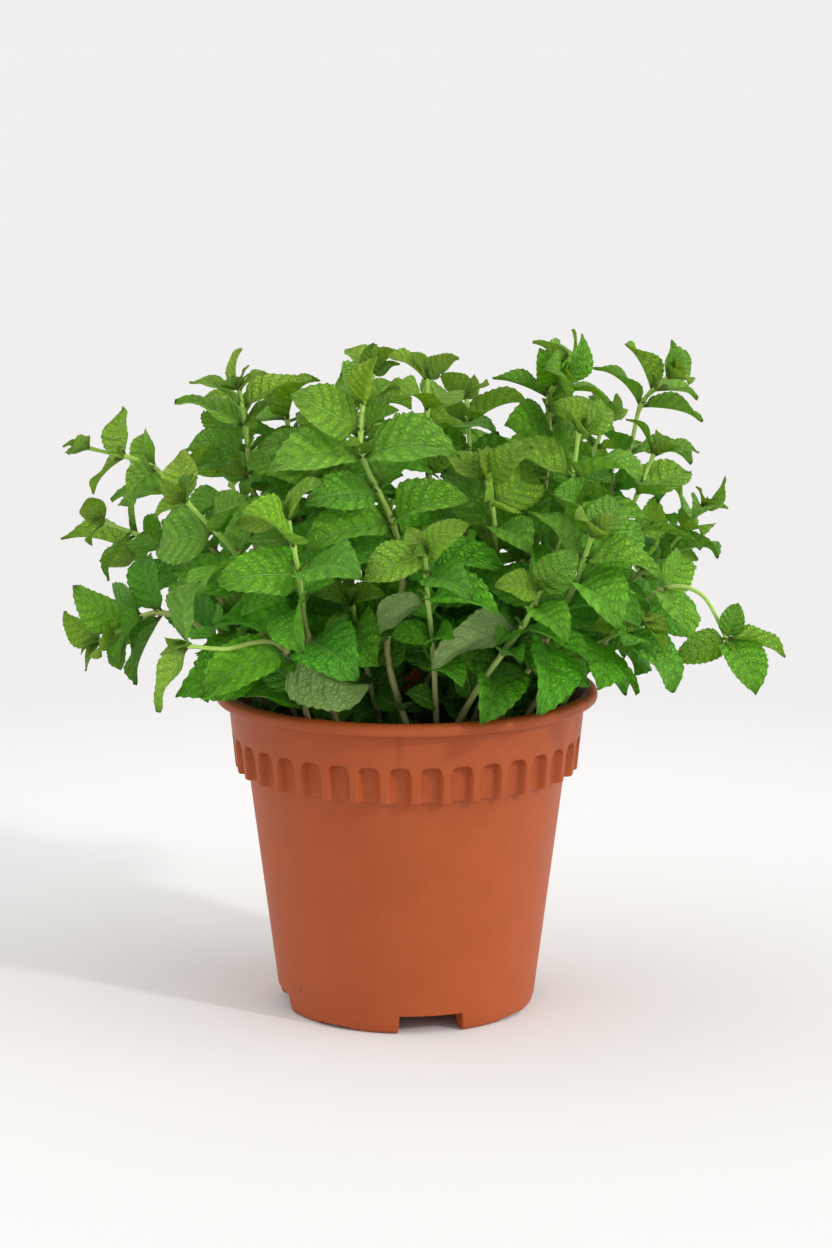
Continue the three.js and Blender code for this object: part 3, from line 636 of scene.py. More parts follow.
def join_xyz(tree, x, y, z):
    return Value(tree, place(tree, "ShaderNodeCombineXYZ", {0: x, 1: y, 2: z}).outputs[0])


def group_inputs(tree):
    """A group's inputs as Values by name."""
    node = tree.nodes.new("NodeGroupInput")
    return {socket.name: Value(tree, socket) for socket in node.outputs if socket.name}


# ---- Geometry Nodes trees ----


def new_tree(name, inputs):
    """A geometry tree with named inputs. Returns it with those inputs by name."""
    tree = bpy.data.node_groups.new(name, "GeometryNodeTree")
    tree.interface.new_socket("Geometry", in_out="OUTPUT", socket_type="NodeSocketGeometry")
    tree.interface.new_socket("Geometry", in_out="INPUT", socket_type="NodeSocketGeometry")
    for label, kind, default in inputs:
        socket = tree.interface.new_socket(label, in_out="INPUT", socket_type=kind)
        if default is not None:
            socket.default_value = default
    return tree, group_inputs(tree)


def finish_tree(tree, geometry, material):
    """Every tree ends in Realize Instances and Set Material."""
    real = place(tree, "GeometryNodeRealizeInstances", {"Geometry": geometry})
    inputs = {"Geometry": real.outputs[0], "Material": material}
    painted = place(tree, "GeometryNodeSetMaterial", inputs)
    output = tree.nodes.new("NodeGroupOutput")
    tree.links.new(painted.outputs[0], output.inputs[0])


def joined_up(tree, parts):
    node = tree.nodes.new("GeometryNodeJoinGeometry")
    for part in parts:
        feed(tree, node.inputs[0], part)
    return node.outputs[0]


def smooth_faces(tree, geometry):
    inputs = {"Geometry": geometry}
    return place(tree, "GeometryNodeSetShadeSmooth", inputs, domain="FACE").outputs[0]


def random_vector(tree, low, high, seed):
    inputs = {0: low, 1: high, "Seed": seed}
    return place(tree, "FunctionNodeRandomValue", inputs, data_type="FLOAT_VECTOR").outputs[0]


def named(tree, name, kind="FLOAT"):
    node = place(tree, "GeometryNodeInputNamedAttribute", {"Name": name}, data_type=kind)
    return Value(tree, node.outputs[0])


def stored(tree, geometry, name, value, kind="FLOAT", domain="POINT"):
    inputs = {"Geometry": geometry, "Name": name, "Value": value}
    node = place(tree, "GeometryNodeStoreNamedAttribute", inputs, data_type=kind, domain=domain)
    return node.outputs[0]


# The blank's two sheets: how far apart they start, and how near their edges are joined
SHEET_GAP, SEAM_REACH = 0.02, 0.002
# The side veins' sweep towards the tip, its curve, and how much their places differ by leaf
VEIN_SWEEP, VEIN_CURVE, VEIN_STRAY = 0.2, 1.4, 3.0
# Where the teeth begin across the leaf, and how far they lean towards the tip
TOOTHED_FROM, TOOTH_LEAN = 0.72, 0.35
# Shares of the leaf's length: the trough over the midrib and the rib under it
TROUGH, RIB = 0.012, 0.012
# The waves along the edge, and how much their places differ by leaf and by side
WAVES, WAVE_STRAY, WAVE_OFFSET = 1.6, 5.0, 0.21
# The blade's twist, and where its tip starts to curl
TWIST, CURL_FROM = 0.8, 0.62


def vein_phase(s, wing, count, chance):
    """A number that is whole on each side vein."""
    return (s - VEIN_SWEEP * wing**VEIN_CURVE) * count + chance * VEIN_STRAY


def leaf_blank(tree, stations, columns):
    """A flat leaf, an upper and a lower sheet joined round the edge. Its blade attribute says how
    far along it a point is, how far across from -1 to 1, and on which sheet: 1, -1, or 0 at the
    edge."""
    inputs = {"Size X": 1.0, "Size Y": 2.0, "Vertices X": stations, "Vertices Y": columns}
    grid = place(tree, "GeometryNodeMeshGrid", inputs).outputs[0]
    x, y, _ = split(tree, place(tree, "GeometryNodeInputPosition").outputs[0])
    s = x + 0.5
    across = y.sign() * abs(y).smooth(0.0, 1.0)
    inside = abs(y).math("LESS_THAN", abs(y), 0.999) * s.over(0.001) * (1.0 - s.over(0.999))
    sheets = []
    for face in (1.0, -1.0):
        sheet = grid
        if face < 0:
            sheet = place(tree, "GeometryNodeFlipFaces", {"Mesh": grid}).outputs[0]
        blade = join_xyz(tree, s, across, inside * face)
        sheet = stored(tree, sheet, "blade", blade, "FLOAT_VECTOR")
        lift = join_xyz(tree, 0.0, 0.0, inside * (face * SHEET_GAP))
        inputs = {"Geometry": sheet, "Offset": lift}
        sheets.append(place(tree, "GeometryNodeSetPosition", inputs).outputs[0])
    inputs = {"Geometry": joined_up(tree, sheets), "Distance": SEAM_REACH}
    return place(tree, "GeometryNodeMergeByDistance", inputs).outputs[0]


def leaf_tree():
    """Leaves on points: each point's attributes give its leaf's direction, face, size and bend."""
    tree, given = new_tree("Mint leaves", [
        ("Material", "NodeSocketMaterial", None),
        ("Stations", "NodeSocketInt", 25),
        ("Columns", "NodeSocketInt", 11),
        ("Bud stations", "NodeSocketInt", 7),
        ("Bud columns", "NodeSocketInt", 5),
        ("Bud length", "NodeSocketFloat", 0.0105),
        ("Leaf thickness", "NodeSocketFloat", 0.00038),
        ("Petiole radius", "NodeSocketFloat", PETIOLE_RADIUS * MM),
        ("Tooth depth", "NodeSocketFloat", 0.022),
        ("Vein height", "NodeSocketFloat", 0.02),
        ("Side veins", "NodeSocketFloat", 7.0),
        ("Margin wave", "NodeSocketFloat", 0.035),
        ("Slimness", "NodeSocketFloat", 0.94),
        ("Fold", "NodeSocketFloat", 1.35),
    ])
    length = named(tree, "length")
    large = length.over(given["Bud length"])
    grown_leaf = leaf_blank(tree, given["Stations"], given["Columns"])
    bud = leaf_blank(tree, given["Bud stations"], given["Bud columns"])
    sown = []
    for blank, chosen in ((grown_leaf, large), (bud, 1.0 - large)):
        inputs = {"Points": given["Geometry"], "Selection": chosen, "Instance": blank}
        sown.append(place(tree, "GeometryNodeInstanceOnPoints", inputs).outputs[0])
    inputs = {"Geometry": joined_up(tree, sown)}
    leaves = place(tree, "GeometryNodeRealizeInstances", inputs).outputs[0]

    station, v, sheet = split(tree, named(tree, "blade", "FLOAT_VECTOR"))
    wing = abs(v)
    chance = named(tree, "chance")
    margin = wing.smooth(TOOTHED_FROM, 1.0)
    steps = given["Stations"] - 1.0
    number = station * steps
    tooth = (number.math("ROUND", number) * 0.5).fraction() * 2.0 * large
    s = station + tooth * margin * TOOTH_LEAN / steps
    u = ((s - PETIOLE_SHARE) / (1 - PETIOLE_SHARE)).most(0.0).least(0.994)
    outline = POINTED_SCALE * (u**POINTED_BASE) * ((1.0 - u) ** POINTED_TIP)
    petiole = given["Petiole radius"]
    small = length.smooth(0.004, 0.02, 0.35, 1.0)
    half_width = petiole * (1.0 - u) * small
    half_width = half_width + named(tree, "width") * given["Slimness"] * outline
    in_blade = u.smooth(0.02, 0.16)
    teeth = tooth * margin * given["Tooth depth"] * length
    teeth = teeth * in_blade * u.smooth(1.0, 0.9)
    y = v * half_width + v.sign() * teeth

    phase = vein_phase(s, wing, given["Side veins"], chance)
    puff = abs((phase * math.pi).sin()) - 0.55
    ripple = puff * given["Vein height"] * length
    ripple = ripple * wing.smooth(0.04, 0.35) * wing.smooth(1.0, 0.75)
    trough = length * -TROUGH * wing.smooth(0.35, 0.0)
    wave = s * WAVES + chance * WAVE_STRAY + v.sign() * WAVE_OFFSET
    wave = (wave * (2 * math.pi)).sin() * wing**2 * given["Margin wave"] * length
    twist = y * (chance - 0.5) * (s - 0.3) * TWIST
    curl = s.smooth(CURL_FROM, 1.0) ** 2 * named(tree, "curl") * length * -1.0
    relief = (ripple + trough + wave + twist + curl) * in_blade
    round_stalk = (1.0 - v * v).most(0.0) ** 0.5 * petiole * 0.9 * small
    flat_blade = (1.0 - v**2 * v**2) * given["Leaf thickness"] * 0.5
    rib = (1.0 - sheet) * 0.5 * (1.0 - s) * wing.smooth(0.22, 0.0) * length * RIB
    lift = sheet * (round_stalk * (1.0 - in_blade) + (flat_blade + rib) * in_blade) + relief

    bend = named(tree, "bend")
    turn = bend * (s - 0.5)
    half_bend = bend * 0.5
    span = half_bend.sin() * 2.0
    along = (turn.sin() + half_bend.sin()) / span
    bulge = (turn.cos() - half_bend.cos()) / span
    cup = named(tree, "cup") * given["Fold"]
    height = abs(y) * cup.sin() + lift
    direction, face = named(tree, "direction", "FLOAT_VECTOR"), named(tree, "face", "FLOAT_VECTOR")
    side = vector_math(tree, "CROSS_PRODUCT", face, direction)
    spot = named(tree, "base", "FLOAT_VECTOR")
    for axis, amount in (
        (direction, length * along + height * turn.sin()),
        (face, length * bulge + height * turn.cos()),
        (side, y * cup.cos()),
    ):
        spot = vector_math(tree, "ADD", spot, vector_math(tree, "SCALE", axis, scale=amount))
    inputs = {"Geometry": leaves, "Position": spot}
    shaped = place(tree, "GeometryNodeSetPosition", inputs).outputs[0]
    rim = 1.0 - abs(sheet).over(0.01)
    inputs = {"Geometry": smooth_faces(tree, shaped), "Selection": rim, "Shade Smooth": False}
    creased = place(tree, "GeometryNodeSetShadeSmooth", inputs, domain="EDGE").outputs[0]
    finish_tree(tree, creased, given["Material"])
    return tree


def stalk_tree():
    """A square stem with rounded corners along a line of points, as thick as each point's girth."""
    tree, given = new_tree("Mint stalk", [
        ("Material", "NodeSocketMaterial", None),
        ("Corner rounding", "NodeSocketFloat", 0.42),
        ("Corner steps", "NodeSocketInt", 2),
    ])
    curve = place(tree, "GeometryNodeMeshToCurve", {"Mesh": given["Geometry"]}).outputs[0]
    inputs = {"Width": 1.55, "Height": 1.55}
    square = place(tree, "GeometryNodeCurvePrimitiveQuadrilateral", inputs).outputs[0]
    inputs = {"Curve": square, "Count": given["Corner steps"], "Radius": given["Corner rounding"]}
    profile = place(tree, "GeometryNodeFilletCurve", inputs, mode="POLY").outputs[0]
    inputs = {"Curve": curve, "Profile Curve": profile,
              "Scale": named(tree, "girth"), "Fill Caps": True}
    tube = place(tree, "GeometryNodeCurveToMesh", inputs).outputs[0]
    finish_tree(tree, smooth_faces(tree, tube), given["Material"])
    return tree


def crumb_tree():
    """Crumbs of soil strewn over the upward faces of a soil surface, with the surface itself."""
    tree, given = new_tree("Soil crumbs", [
        ("Material", "NodeSocketMaterial", None),
        ("Crumb density", "NodeSocketFloat", 90000.0),
        ("Crumb radius", "NodeSocketFloat", 0.0011),
        ("Seed", "NodeSocketInt", 7),
    ])
    ground = given["Geometry"]
    normal = place(tree, "GeometryNodeInputNormal").outputs[0]
    upward = split(tree, normal)[2].over(0.5)
    inputs = {"Mesh": ground, "Selection": upward,
              "Density": given["Crumb density"], "Seed": given["Seed"]}
    points = place(tree, "GeometryNodeDistributePointsOnFaces", inputs, distribute_method="RANDOM")
    inputs = {"Radius": given["Crumb radius"], "Subdivisions": 1}
    ball = place(tree, "GeometryNodeMeshIcoSphere", inputs)
    size = random_vector(tree, (0.3, 0.3, 0.2), (1.5, 1.2, 0.9), 3)
    angle = random_vector(tree, (0.0, 0.0, 0.0), (6.3, 6.3, 6.3), 4)
    inputs = {"Points": points.outputs[0], "Instance": ball.outputs[0],
              "Rotation": angle, "Scale": size}
    crumbs = place(tree, "GeometryNodeInstanceOnPoints", inputs).outputs[0]
    grit = place(tree, "FunctionNodeRandomValue", {"Seed": 5}, data_type="FLOAT")
    crumbs = stored(tree, crumbs, "grit", Value(tree, grit.outputs[1]), domain="INSTANCE")
    finish_tree(tree, joined_up(tree, (ground, crumbs)), given["Material"])
    return tree


def grow_meshes(tree, objects, **inputs):
    """Puts the tree on each object, with its inputs by name, and makes the results plain meshes."""
    sockets = [item for item in tree.interface.items_tree if item.item_type == "SOCKET"]
    identifiers = {socket.name: socket.identifier for socket in sockets}
    for item in objects:
        modifier = item.modifiers.new(tree.name, "NODES")
        modifier.node_group = tree
        for name, value in inputs.items():
            modifier[identifiers[name]] = value
    graph = bpy.context.evaluated_depsgraph_get()
    for item in objects:
        mesh = bpy.data.meshes.new_from_object(
            item.evaluated_get(graph), preserve_all_data_layers=True, depsgraph=graph
        )
        if not mesh.polygons:
            raise RuntimeError(f"{item.name} came out empty")
        item.modifiers.clear()
        item.data = mesh
        mesh.name = item.name


# ---- Meshes ----


def new_object(name, mesh):
    item = bpy.data.objects.new(name, mesh)
    bpy.context.scene.collection.objects.link(item)
    return item


def mesh_from(name, points, faces=(), edges=()):
    mesh = bpy.data.meshes.new(name)
    mesh.from_pydata([tuple(p) for p in points], list(edges), list(faces))
    return mesh


def set_attribute(mesh, name, values):
    values = np.asarray(values, np.float32)
    kind, field = ("FLOAT_VECTOR", "vector") if values.ndim == 2 else ("FLOAT", "value")
    attribute = mesh.attributes.new(name, kind, "POINT")
    attribute.data.foreach_set(field, values.ravel())


LEAST_CURL, CURL_SPREAD = 0.02, 0.1


def leaf_points(name, leaves):
    """One point for each leaf, with all that the leaf tree reads."""
    mesh = mesh_from(name, [leaf.base * MM for leaf in leaves])
    set_attribute(mesh, "base", [leaf.base * MM for leaf in leaves])
    for key in ("direction", "face"):
        set_attribute(mesh, key, [getattr(leaf, key) for leaf in leaves])
    for key in ("length", "width"):
        set_attribute(mesh, key, [getattr(leaf, key) * MM for leaf in leaves])
    for key in ("bend", "cup", "chance", "youth", "pallor"):
        set_attribute(mesh, key, [getattr(leaf, key) for leaf in leaves])
    curls = [LEAST_CURL + CURL_SPREAD * leaf.chance**2 for leaf in leaves]
    set_attribute(mesh, "curl", curls)
    return new_object(name, mesh)


KNOT_REACH = 2.6
KNOT_SWELLING = 0.45
STALK_SAMPLES = 11
STALK_SLIMNESS = 0.82


def stalk_points(name, shoot):
    """The stem's line, with its girth, how far up it a point is, and how near a leaf pair."""
    count = STALK_SAMPLES * shoot.last
    steps = [i / count for i in range(count + 1)]
    line = np.array([shoot.point(t) for t in steps])
    knots = np.array([shoot.point(at / shoot.last) for at in shoot.places()])
    near = np.linalg.norm(line[:, None] - knots[None], axis=2).min(axis=1)
    knot = np.exp(-((near / KNOT_REACH) ** 2))
    girth = STEM_ROOT_RADIUS + (STEM_TIP_RADIUS - STEM_ROOT_RADIUS) * np.array(steps)
    edges = [(i, i + 1) for i in range(count)]
    mesh = mesh_from(name, line * MM, edges=edges)
    set_attribute(mesh, "girth", (girth * STALK_SLIMNESS + KNOT_SWELLING * knot) * MM)
    set_attribute(mesh, "rise", steps)
    set_attribute(mesh, "knot", knot)
    return new_object(name, mesh)


# ---- The pot ----

WALL = 1.8
COLUMNS_PER_FLUTE = 20


def pot_sizes(settings):
    """The pot's sizes in millimetres: its height and lip are the frame's, and its other radii are
    set back from the lip."""
    lip = POT_HIGH.x / MM
    return {
        "lip": lip,
        "height": POT_HIGH.z / MM,
        "lip_height": settings.lip_height / MM,
        "collar_top": lip - 5,
        "collar_foot": lip - 7.7,
        "body_top": lip - 12.6,
        "body_foot": lip - 24.6,
        "collar_level": 95,
        "flutes": settings.flutes,
        "flute_depth": settings.flute_depth / MM,
        "flute_height": 13.5,
        "floor_under": 9,
        "floor_top": 11,
    }


def smoothstep(low, high, x):
    t = np.clip((x - low) / (high - low), 0, 1)
    return t * t * (3 - 2 * t)


def quarter(centre_r, centre_z, radius, start, end, steps):
    """Points of a round in the wall's section, from one angle to another in degrees."""
    turns = np.radians(np.linspace(start, end, steps))
    return [(centre_r + radius * math.cos(a), centre_z + radius * math.sin(a)) for a in turns]


NOTCHES = 8
NOTCH_PHASE = 11
WIDE_NOTCH, WIDE_NOTCH_HEIGHT = 25, 7.6
NARROW_NOTCH, NARROW_NOTCH_HEIGHT = 14, 1.5
FOOT_RING = 6
FLUTE_PHASE = -2
FLUTE_SHARE = 0.66
FLUTE_FLANK = 0.75
ARCH_DROP = 2.4
FOOT_ROUNDING = 2.2
LIP_TOP_ROUNDING = 2.4
LIP_FOOT_ROUNDING = 1.3
INNER_LIP_ROUNDING = 1.1
# Burrs under the lip: the azimuth, half width in degrees and depth of each
BURRS = ((-31, 1.4, 0.4), (-26, 0.8, 0.5), (63, 1.0, 0.35), (141, 1.8, 0.4), (214, 1.1, 0.45))


def pot_rows(size, azimuth):
    """The pot's section as rows of (radius, height) for every azimuth in degrees, from the centre
    of its underside, round its wall and lip, to the centre of its floor."""
    def body(z):
        return size["body_foot"] + (size["body_top"] - size["body_foot"]) * z / size["collar_level"]

    def collar(z):
        rise = size["height"] - size["lip_height"] - size["collar_level"]
        share = (z - size["collar_level"]) / rise
        return size["collar_foot"] + (size["collar_top"] - size["collar_foot"]) * share

    level = np.ones_like(azimuth)
    notch, notch_height = np.zeros_like(azimuth), np.zeros_like(azimuth)
    for i in range(NOTCHES):
        wide = i % 2 == 0
        width = WIDE_NOTCH if wide else NARROW_NOTCH
        half = math.degrees(math.asin(width / 2 / size["body_foot"]))
        away = np.abs((azimuth - NOTCH_PHASE - i * 360 / NOTCHES + 180) % 360 - 180)
        cut = 1 - smoothstep(half - 0.4, half + 0.5, away)
        notch = np.maximum(notch, cut)
        notch_height[cut > 0] = WIDE_NOTCH_HEIGHT if wide else NARROW_NOTCH_HEIGHT
    notch_top = size["floor_under"] + 1
    rows = []

    def row(r, z, outer=False, notched=False):
        r, z = r * level, z * level
        if notched:
            raised = notch_height + z * (notch_top - notch_height) / notch_top
            z = z + (raised - z) * notch
            if outer:
                r = r + (body(z) - r) * notch
        rows.append((r, z))

    inner_foot = size["body_foot"] - FOOT_RING
    for share in (0.3, 0.6, 0.85):
        row(share * inner_foot, size["floor_under"])
    row(inner_foot, size["floor_under"] - 0.1)
    row(inner_foot + 0.2, size["floor_under"] - 0.6, notched=True)
    for z in (6, 3, 1):
        row(inner_foot + 0.2, z, notched=True)
    for r, z in quarter(inner_foot + 0.8, 0.6, 0.6, 195, 270, 4):
        row(r, z, notched=True)
    for r, z in quarter(size["body_foot"] - FOOT_ROUNDING, FOOT_ROUNDING,
                        FOOT_ROUNDING, 270, 355, 6):
        row(r, z, outer=True, notched=True)
    for z in (3.5, 5, 6.5, 8, 9.4):
        row(body(z), z, outer=True, notched=True)
    for z in (11, 16, 28, 45, 62, 78, 88, 93):
        row(body(z), z)

    pitch = 360 / size["flutes"]
    local = np.abs((azimuth - FLUTE_PHASE + pitch / 2) % pitch - pitch / 2)
    half = FLUTE_SHARE * pitch / 2
    groove = 1 - smoothstep(half - 1.7 * FLUTE_FLANK, half + FLUTE_FLANK, local)
    dish = 0.14 * (1 - np.clip(local / half, 0, 1) ** 2)
    floor_radius = size["collar_foot"] - size["flute_depth"]
    arch = np.cbrt(np.clip(1 - (np.clip(local, 0, half) / half) ** 3, 0, 1))
    foot = size["collar_level"]
    top_of_flutes = foot + size["flute_height"]
    top = top_of_flutes - ARCH_DROP * (1 - arch)

    def fluted(z, deep):
        plain = collar(z)
        return plain + (floor_radius - 3 * dish + 0.05 * (z - foot) - plain) * groove * deep

    row(body(foot) + 0.05, foot - 0.9)
    row(body(foot) + 0.35, foot - 0.2)
    row(body(foot) + 0.9, foot)
    edge = fluted(foot + 0.5 * level, 1)
    row(edge - 0.55, foot)
    row(edge - 0.18, foot + 0.12)
    row(edge, foot + 0.5)
    for share in (0.12, 0.35, 0.6, 0.8):
        z = foot + 0.5 + (top - foot - 1.2) * share
        row(fluted(z, 1), z)
    for rise, deep in ((-0.75, 1), (-0.3, 0.97), (0.05, 0.75), (0.4, 0.3), (0.75, 0.06), (1.15, 0)):
        z = top + rise
        row(fluted(z, deep), z)
    lip_foot = size["height"] - size["lip_height"]
    for share in (0.25, 0.5, 0.75, 0.95):
        z = top + 1.15 + (lip_foot - 0.8 - top - 1.15) * share
        row(collar(z), z)
    row(collar(lip_foot) + 0.12, lip_foot - 0.3)
    row(collar(lip_foot) + 0.7, lip_foot)
    burr = 0.10 * np.sin(np.radians(azimuth * 7)) * np.sin(np.radians(azimuth * 3 + 40))
    for centre, reach, drop in BURRS:
        away = np.abs((azimuth - centre + 180) % 360 - 180)
        burr = burr + drop * np.exp(-((away / reach) ** 2))
    lip_under = quarter(size["lip"] - LIP_FOOT_ROUNDING, lip_foot + LIP_FOOT_ROUNDING,
                        LIP_FOOT_ROUNDING, 270, 360, 6)
    for i, (r, z) in enumerate(lip_under):
        row(r, z - burr * max(0, 1 - i / 3))
    for r, z in quarter(size["lip"] - LIP_TOP_ROUNDING, size["height"] - LIP_TOP_ROUNDING,
                        LIP_TOP_ROUNDING, 8, 90, 8):
        row(r, z)
    inner_lip = size["collar_top"]
    for r, z in quarter(inner_lip + INNER_LIP_ROUNDING, size["height"] - INNER_LIP_ROUNDING,
                        INNER_LIP_ROUNDING, 90, 180, 5):
        row(r, z)
    row(inner_lip - 0.7, lip_foot + 1.6)
    row(inner_lip - WALL, lip_foot)
    row(floor_radius + 1.6, top_of_flutes + 5.5)
    row(floor_radius - WALL - 0.3, top_of_flutes)
    row(body(foot - WALL) - WALL, foot - WALL)
    for z in (60, 30, 14):
        row(body(z) - WALL, z)
    inner_floor = body(size["floor_top"]) - WALL
    row(inner_floor - 0.4, size["floor_top"] + 1)
    row(inner_floor - 1.6, size["floor_top"])
    for share in (0.85, 0.55, 0.25):
        row(share * inner_foot, size["floor_top"])
    return rows


def pot_mesh(settings):
    size = pot_sizes(settings)
    count = COLUMNS_PER_FLUTE * size["flutes"]
    azimuth = np.arange(count) * 360 / count
    rows = pot_rows(size, azimuth)
    east, north = np.sin(np.radians(azimuth)), -np.cos(np.radians(azimuth))
    points = [(0, 0, size["floor_under"])]
    for r, z in rows:
        points.extend(zip(r * east, r * north, z))
    points.append((0, 0, size["floor_top"]))
    faces = []
    for j in range(count):
        k = (j + 1) % count
        faces.append((0, 1 + j, 1 + k))
        for i in range(len(rows) - 1):
            low, high = 1 + i * count, 1 + (i + 1) * count
            faces.append((low + j, high + j, high + k, low + k))
        top = 1 + (len(rows) - 1) * count
        faces.append((top + j, len(points) - 1, top + k))
    return mesh_from("nursery_pot", np.array(points) * MM, faces)


DRAIN_RING = 34
DRAIN_RADIUS = 4
DRAIN_SIDES = 24
DRAIN_LEVELS = (6, 14)


def drain_cutter():
    """Eight plugs in the shape of the drain holes."""
    points, faces = [], []
    sides = DRAIN_SIDES
    for i in range(NOTCHES):
        turn = math.radians(NOTCH_PHASE + i * 360 / NOTCHES)
        x, y = DRAIN_RING * math.sin(turn), -DRAIN_RING * math.cos(turn)
        start = len(points)
        for z in DRAIN_LEVELS:
            for j in range(sides):
                a = 2 * math.pi * j / sides
                points.append((x + DRAIN_RADIUS * math.cos(a), y + DRAIN_RADIUS * math.sin(a), z))
        faces.append(tuple(range(start + sides - 1, start - 1, -1)))
        faces.append(tuple(range(start + sides, start + 2 * sides)))
        for j in range(sides):
            k = (j + 1) % sides
            faces.append((start + j, start + k, start + sides + k, start + sides + j))
    return new_object("drain_cutter", mesh_from("drain_cutter", np.array(points) * MM, faces))


SOIL_RINGS = 34
SOIL_SECTORS = 96
SOIL_ROUGHNESS = 0.45
SOIL_SINK = 1.6
SOIL_FOOT = 11.4


def soil_mesh(settings):
    """The soil: a rough top that sinks towards the wall, on sides that follow the pot's inside."""
    size = pot_sizes(settings)
    inside = size["collar_foot"] - size["flute_depth"] - WALL - 0.5
    foot_radius = 0.86 * (SOIL_HIGH.x / MM - 8)
    points, faces = [(0, 0, SOIL_LEVEL)], []
    turns = [2 * math.pi * j / SOIL_SECTORS for j in range(SOIL_SECTORS)]
    for i in range(1, SOIL_RINGS + 1):
        r = (inside + 1.3) * i / SOIL_RINGS
        for j, a in enumerate(turns):
            bump = math.sin(r * 0.31 + 2.1 * math.sin(a * 3)) + math.sin(a * 7 + r * 0.17)
            bump = bump + jitter(i * 131 + j)
            z = SOIL_LEVEL + SOIL_ROUGHNESS * bump - SOIL_SINK * (r / inside) ** 4
            points.append((r * math.sin(a), -r * math.cos(a), z))
    sides = ((inside + 0.2, 108.5), (size["body_top"] - WALL - 0.6, 93), (foot_radius, SOIL_FOOT))
    for r, z in sides:
        points.extend((r * math.sin(a), -r * math.cos(a), z) for a in turns)
    points.append((0, 0, SOIL_FOOT))
    rings = SOIL_RINGS + len(sides)
    for j in range(SOIL_SECTORS):
        k = (j + 1) % SOIL_SECTORS
        faces.append((0, 1 + j, 1 + k))
        for i in range(rings - 1):
            low, high = 1 + i * SOIL_SECTORS, 1 + (i + 1) * SOIL_SECTORS
            faces.append((low + j, high + j, high + k, low + k))
        last = 1 + (rings - 1) * SOIL_SECTORS
        faces.append((last + j, len(points) - 1, last + k))
    return mesh_from("potting_soil", np.array(points) * MM, faces)


# ---- Materials ----


def new_material(name):
    """A material with its Principled shader, its tree and its output."""
    material = bpy.data.materials.new(name)
    material.use_nodes = True
    tree = material.node_tree
    shader = next(node for node in tree.nodes if node.type == "BSDF_PRINCIPLED")
    return material, tree, shader


def object_vector(tree):
    return place(tree, "ShaderNodeTexCoord").outputs["Object"]


def mottled(tree, vector, patches, grain):
    """Places the mottle group with its two scales."""
    scales = {"Patch scale": patches, "Grain scale": grain}
    return use_group(tree, mottle_group(), Vector=vector, **scales)


def attribute(tree, name, output="Fac"):
    return Value(tree, place(tree, "ShaderNodeAttribute", attribute_name=name).outputs[output])


def mixed(tree, share, low, high, blend="MIX"):
    node = place(tree, "ShaderNodeMix", data_type="RGBA", blend_type=blend)
    feed(tree, node.inputs[0], share)
    feed(tree, node.inputs[6], low)
    feed(tree, node.inputs[7], high)
    return node.outputs[2]


def bumped(tree, shader, height, distance, strength=1.0):
    inputs = {"Height": height, "Distance": distance, "Strength": strength}
    feed(tree, shader.inputs["Normal"], place(tree, "ShaderNodeBump", inputs).outputs[0])


def shader_group(name, inputs, outputs):
    """A shader node group with named inputs and outputs. Returns it with those inputs by name."""
    tree = bpy.data.node_groups.new(name, "ShaderNodeTree")
    for label, kind, default in inputs:
        socket = tree.interface.new_socket(label, in_out="INPUT", socket_type=kind)
        if default is not None:
            socket.default_value = default
    for label in outputs:
        tree.interface.new_socket(label, in_out="OUTPUT", socket_type="NodeSocketFloat")
    return tree, group_inputs(tree)


def end_group(tree, **values):
    output = tree.nodes.new("NodeGroupOutput")
    for name, value in values.items():
        feed(tree, output.inputs[name], value)


def use_group(tree, group, **inputs):
    """Places a shader node group in a material and returns its outputs by name."""
    node = place(tree, "ShaderNodeGroup", node_tree=group)
    for name, value in inputs.items():
        feed(tree, node.inputs[name], value)
    return {socket.name: Value(tree, socket) for socket in node.outputs}


@functools.cache
def mottle_group():
    """Uneven colour at two scales, and a fine grain for a bump."""
    tree, given = shader_group(
        "Mottle",
        [("Vector", "NodeSocketVector", None), ("Patch scale", "NodeSocketFloat", 60.0),
         ("Grain scale", "NodeSocketFloat", 900.0)],
        ["Patches", "Grain"],
    )
    values = {}
    for name, scale, detail in (("Patches", "Patch scale", 4.0), ("Grain", "Grain scale", 3.0)):
        inputs = {"Vector": given["Vector"], "Scale": given[scale],
                  "Detail": detail, "Roughness": 0.6}
        noise = Value(tree, place(tree, "ShaderNodeTexNoise", inputs).outputs[0])
        values[name] = noise.smooth(0.25, 0.75)
    end_group(tree, **values)
    return tree


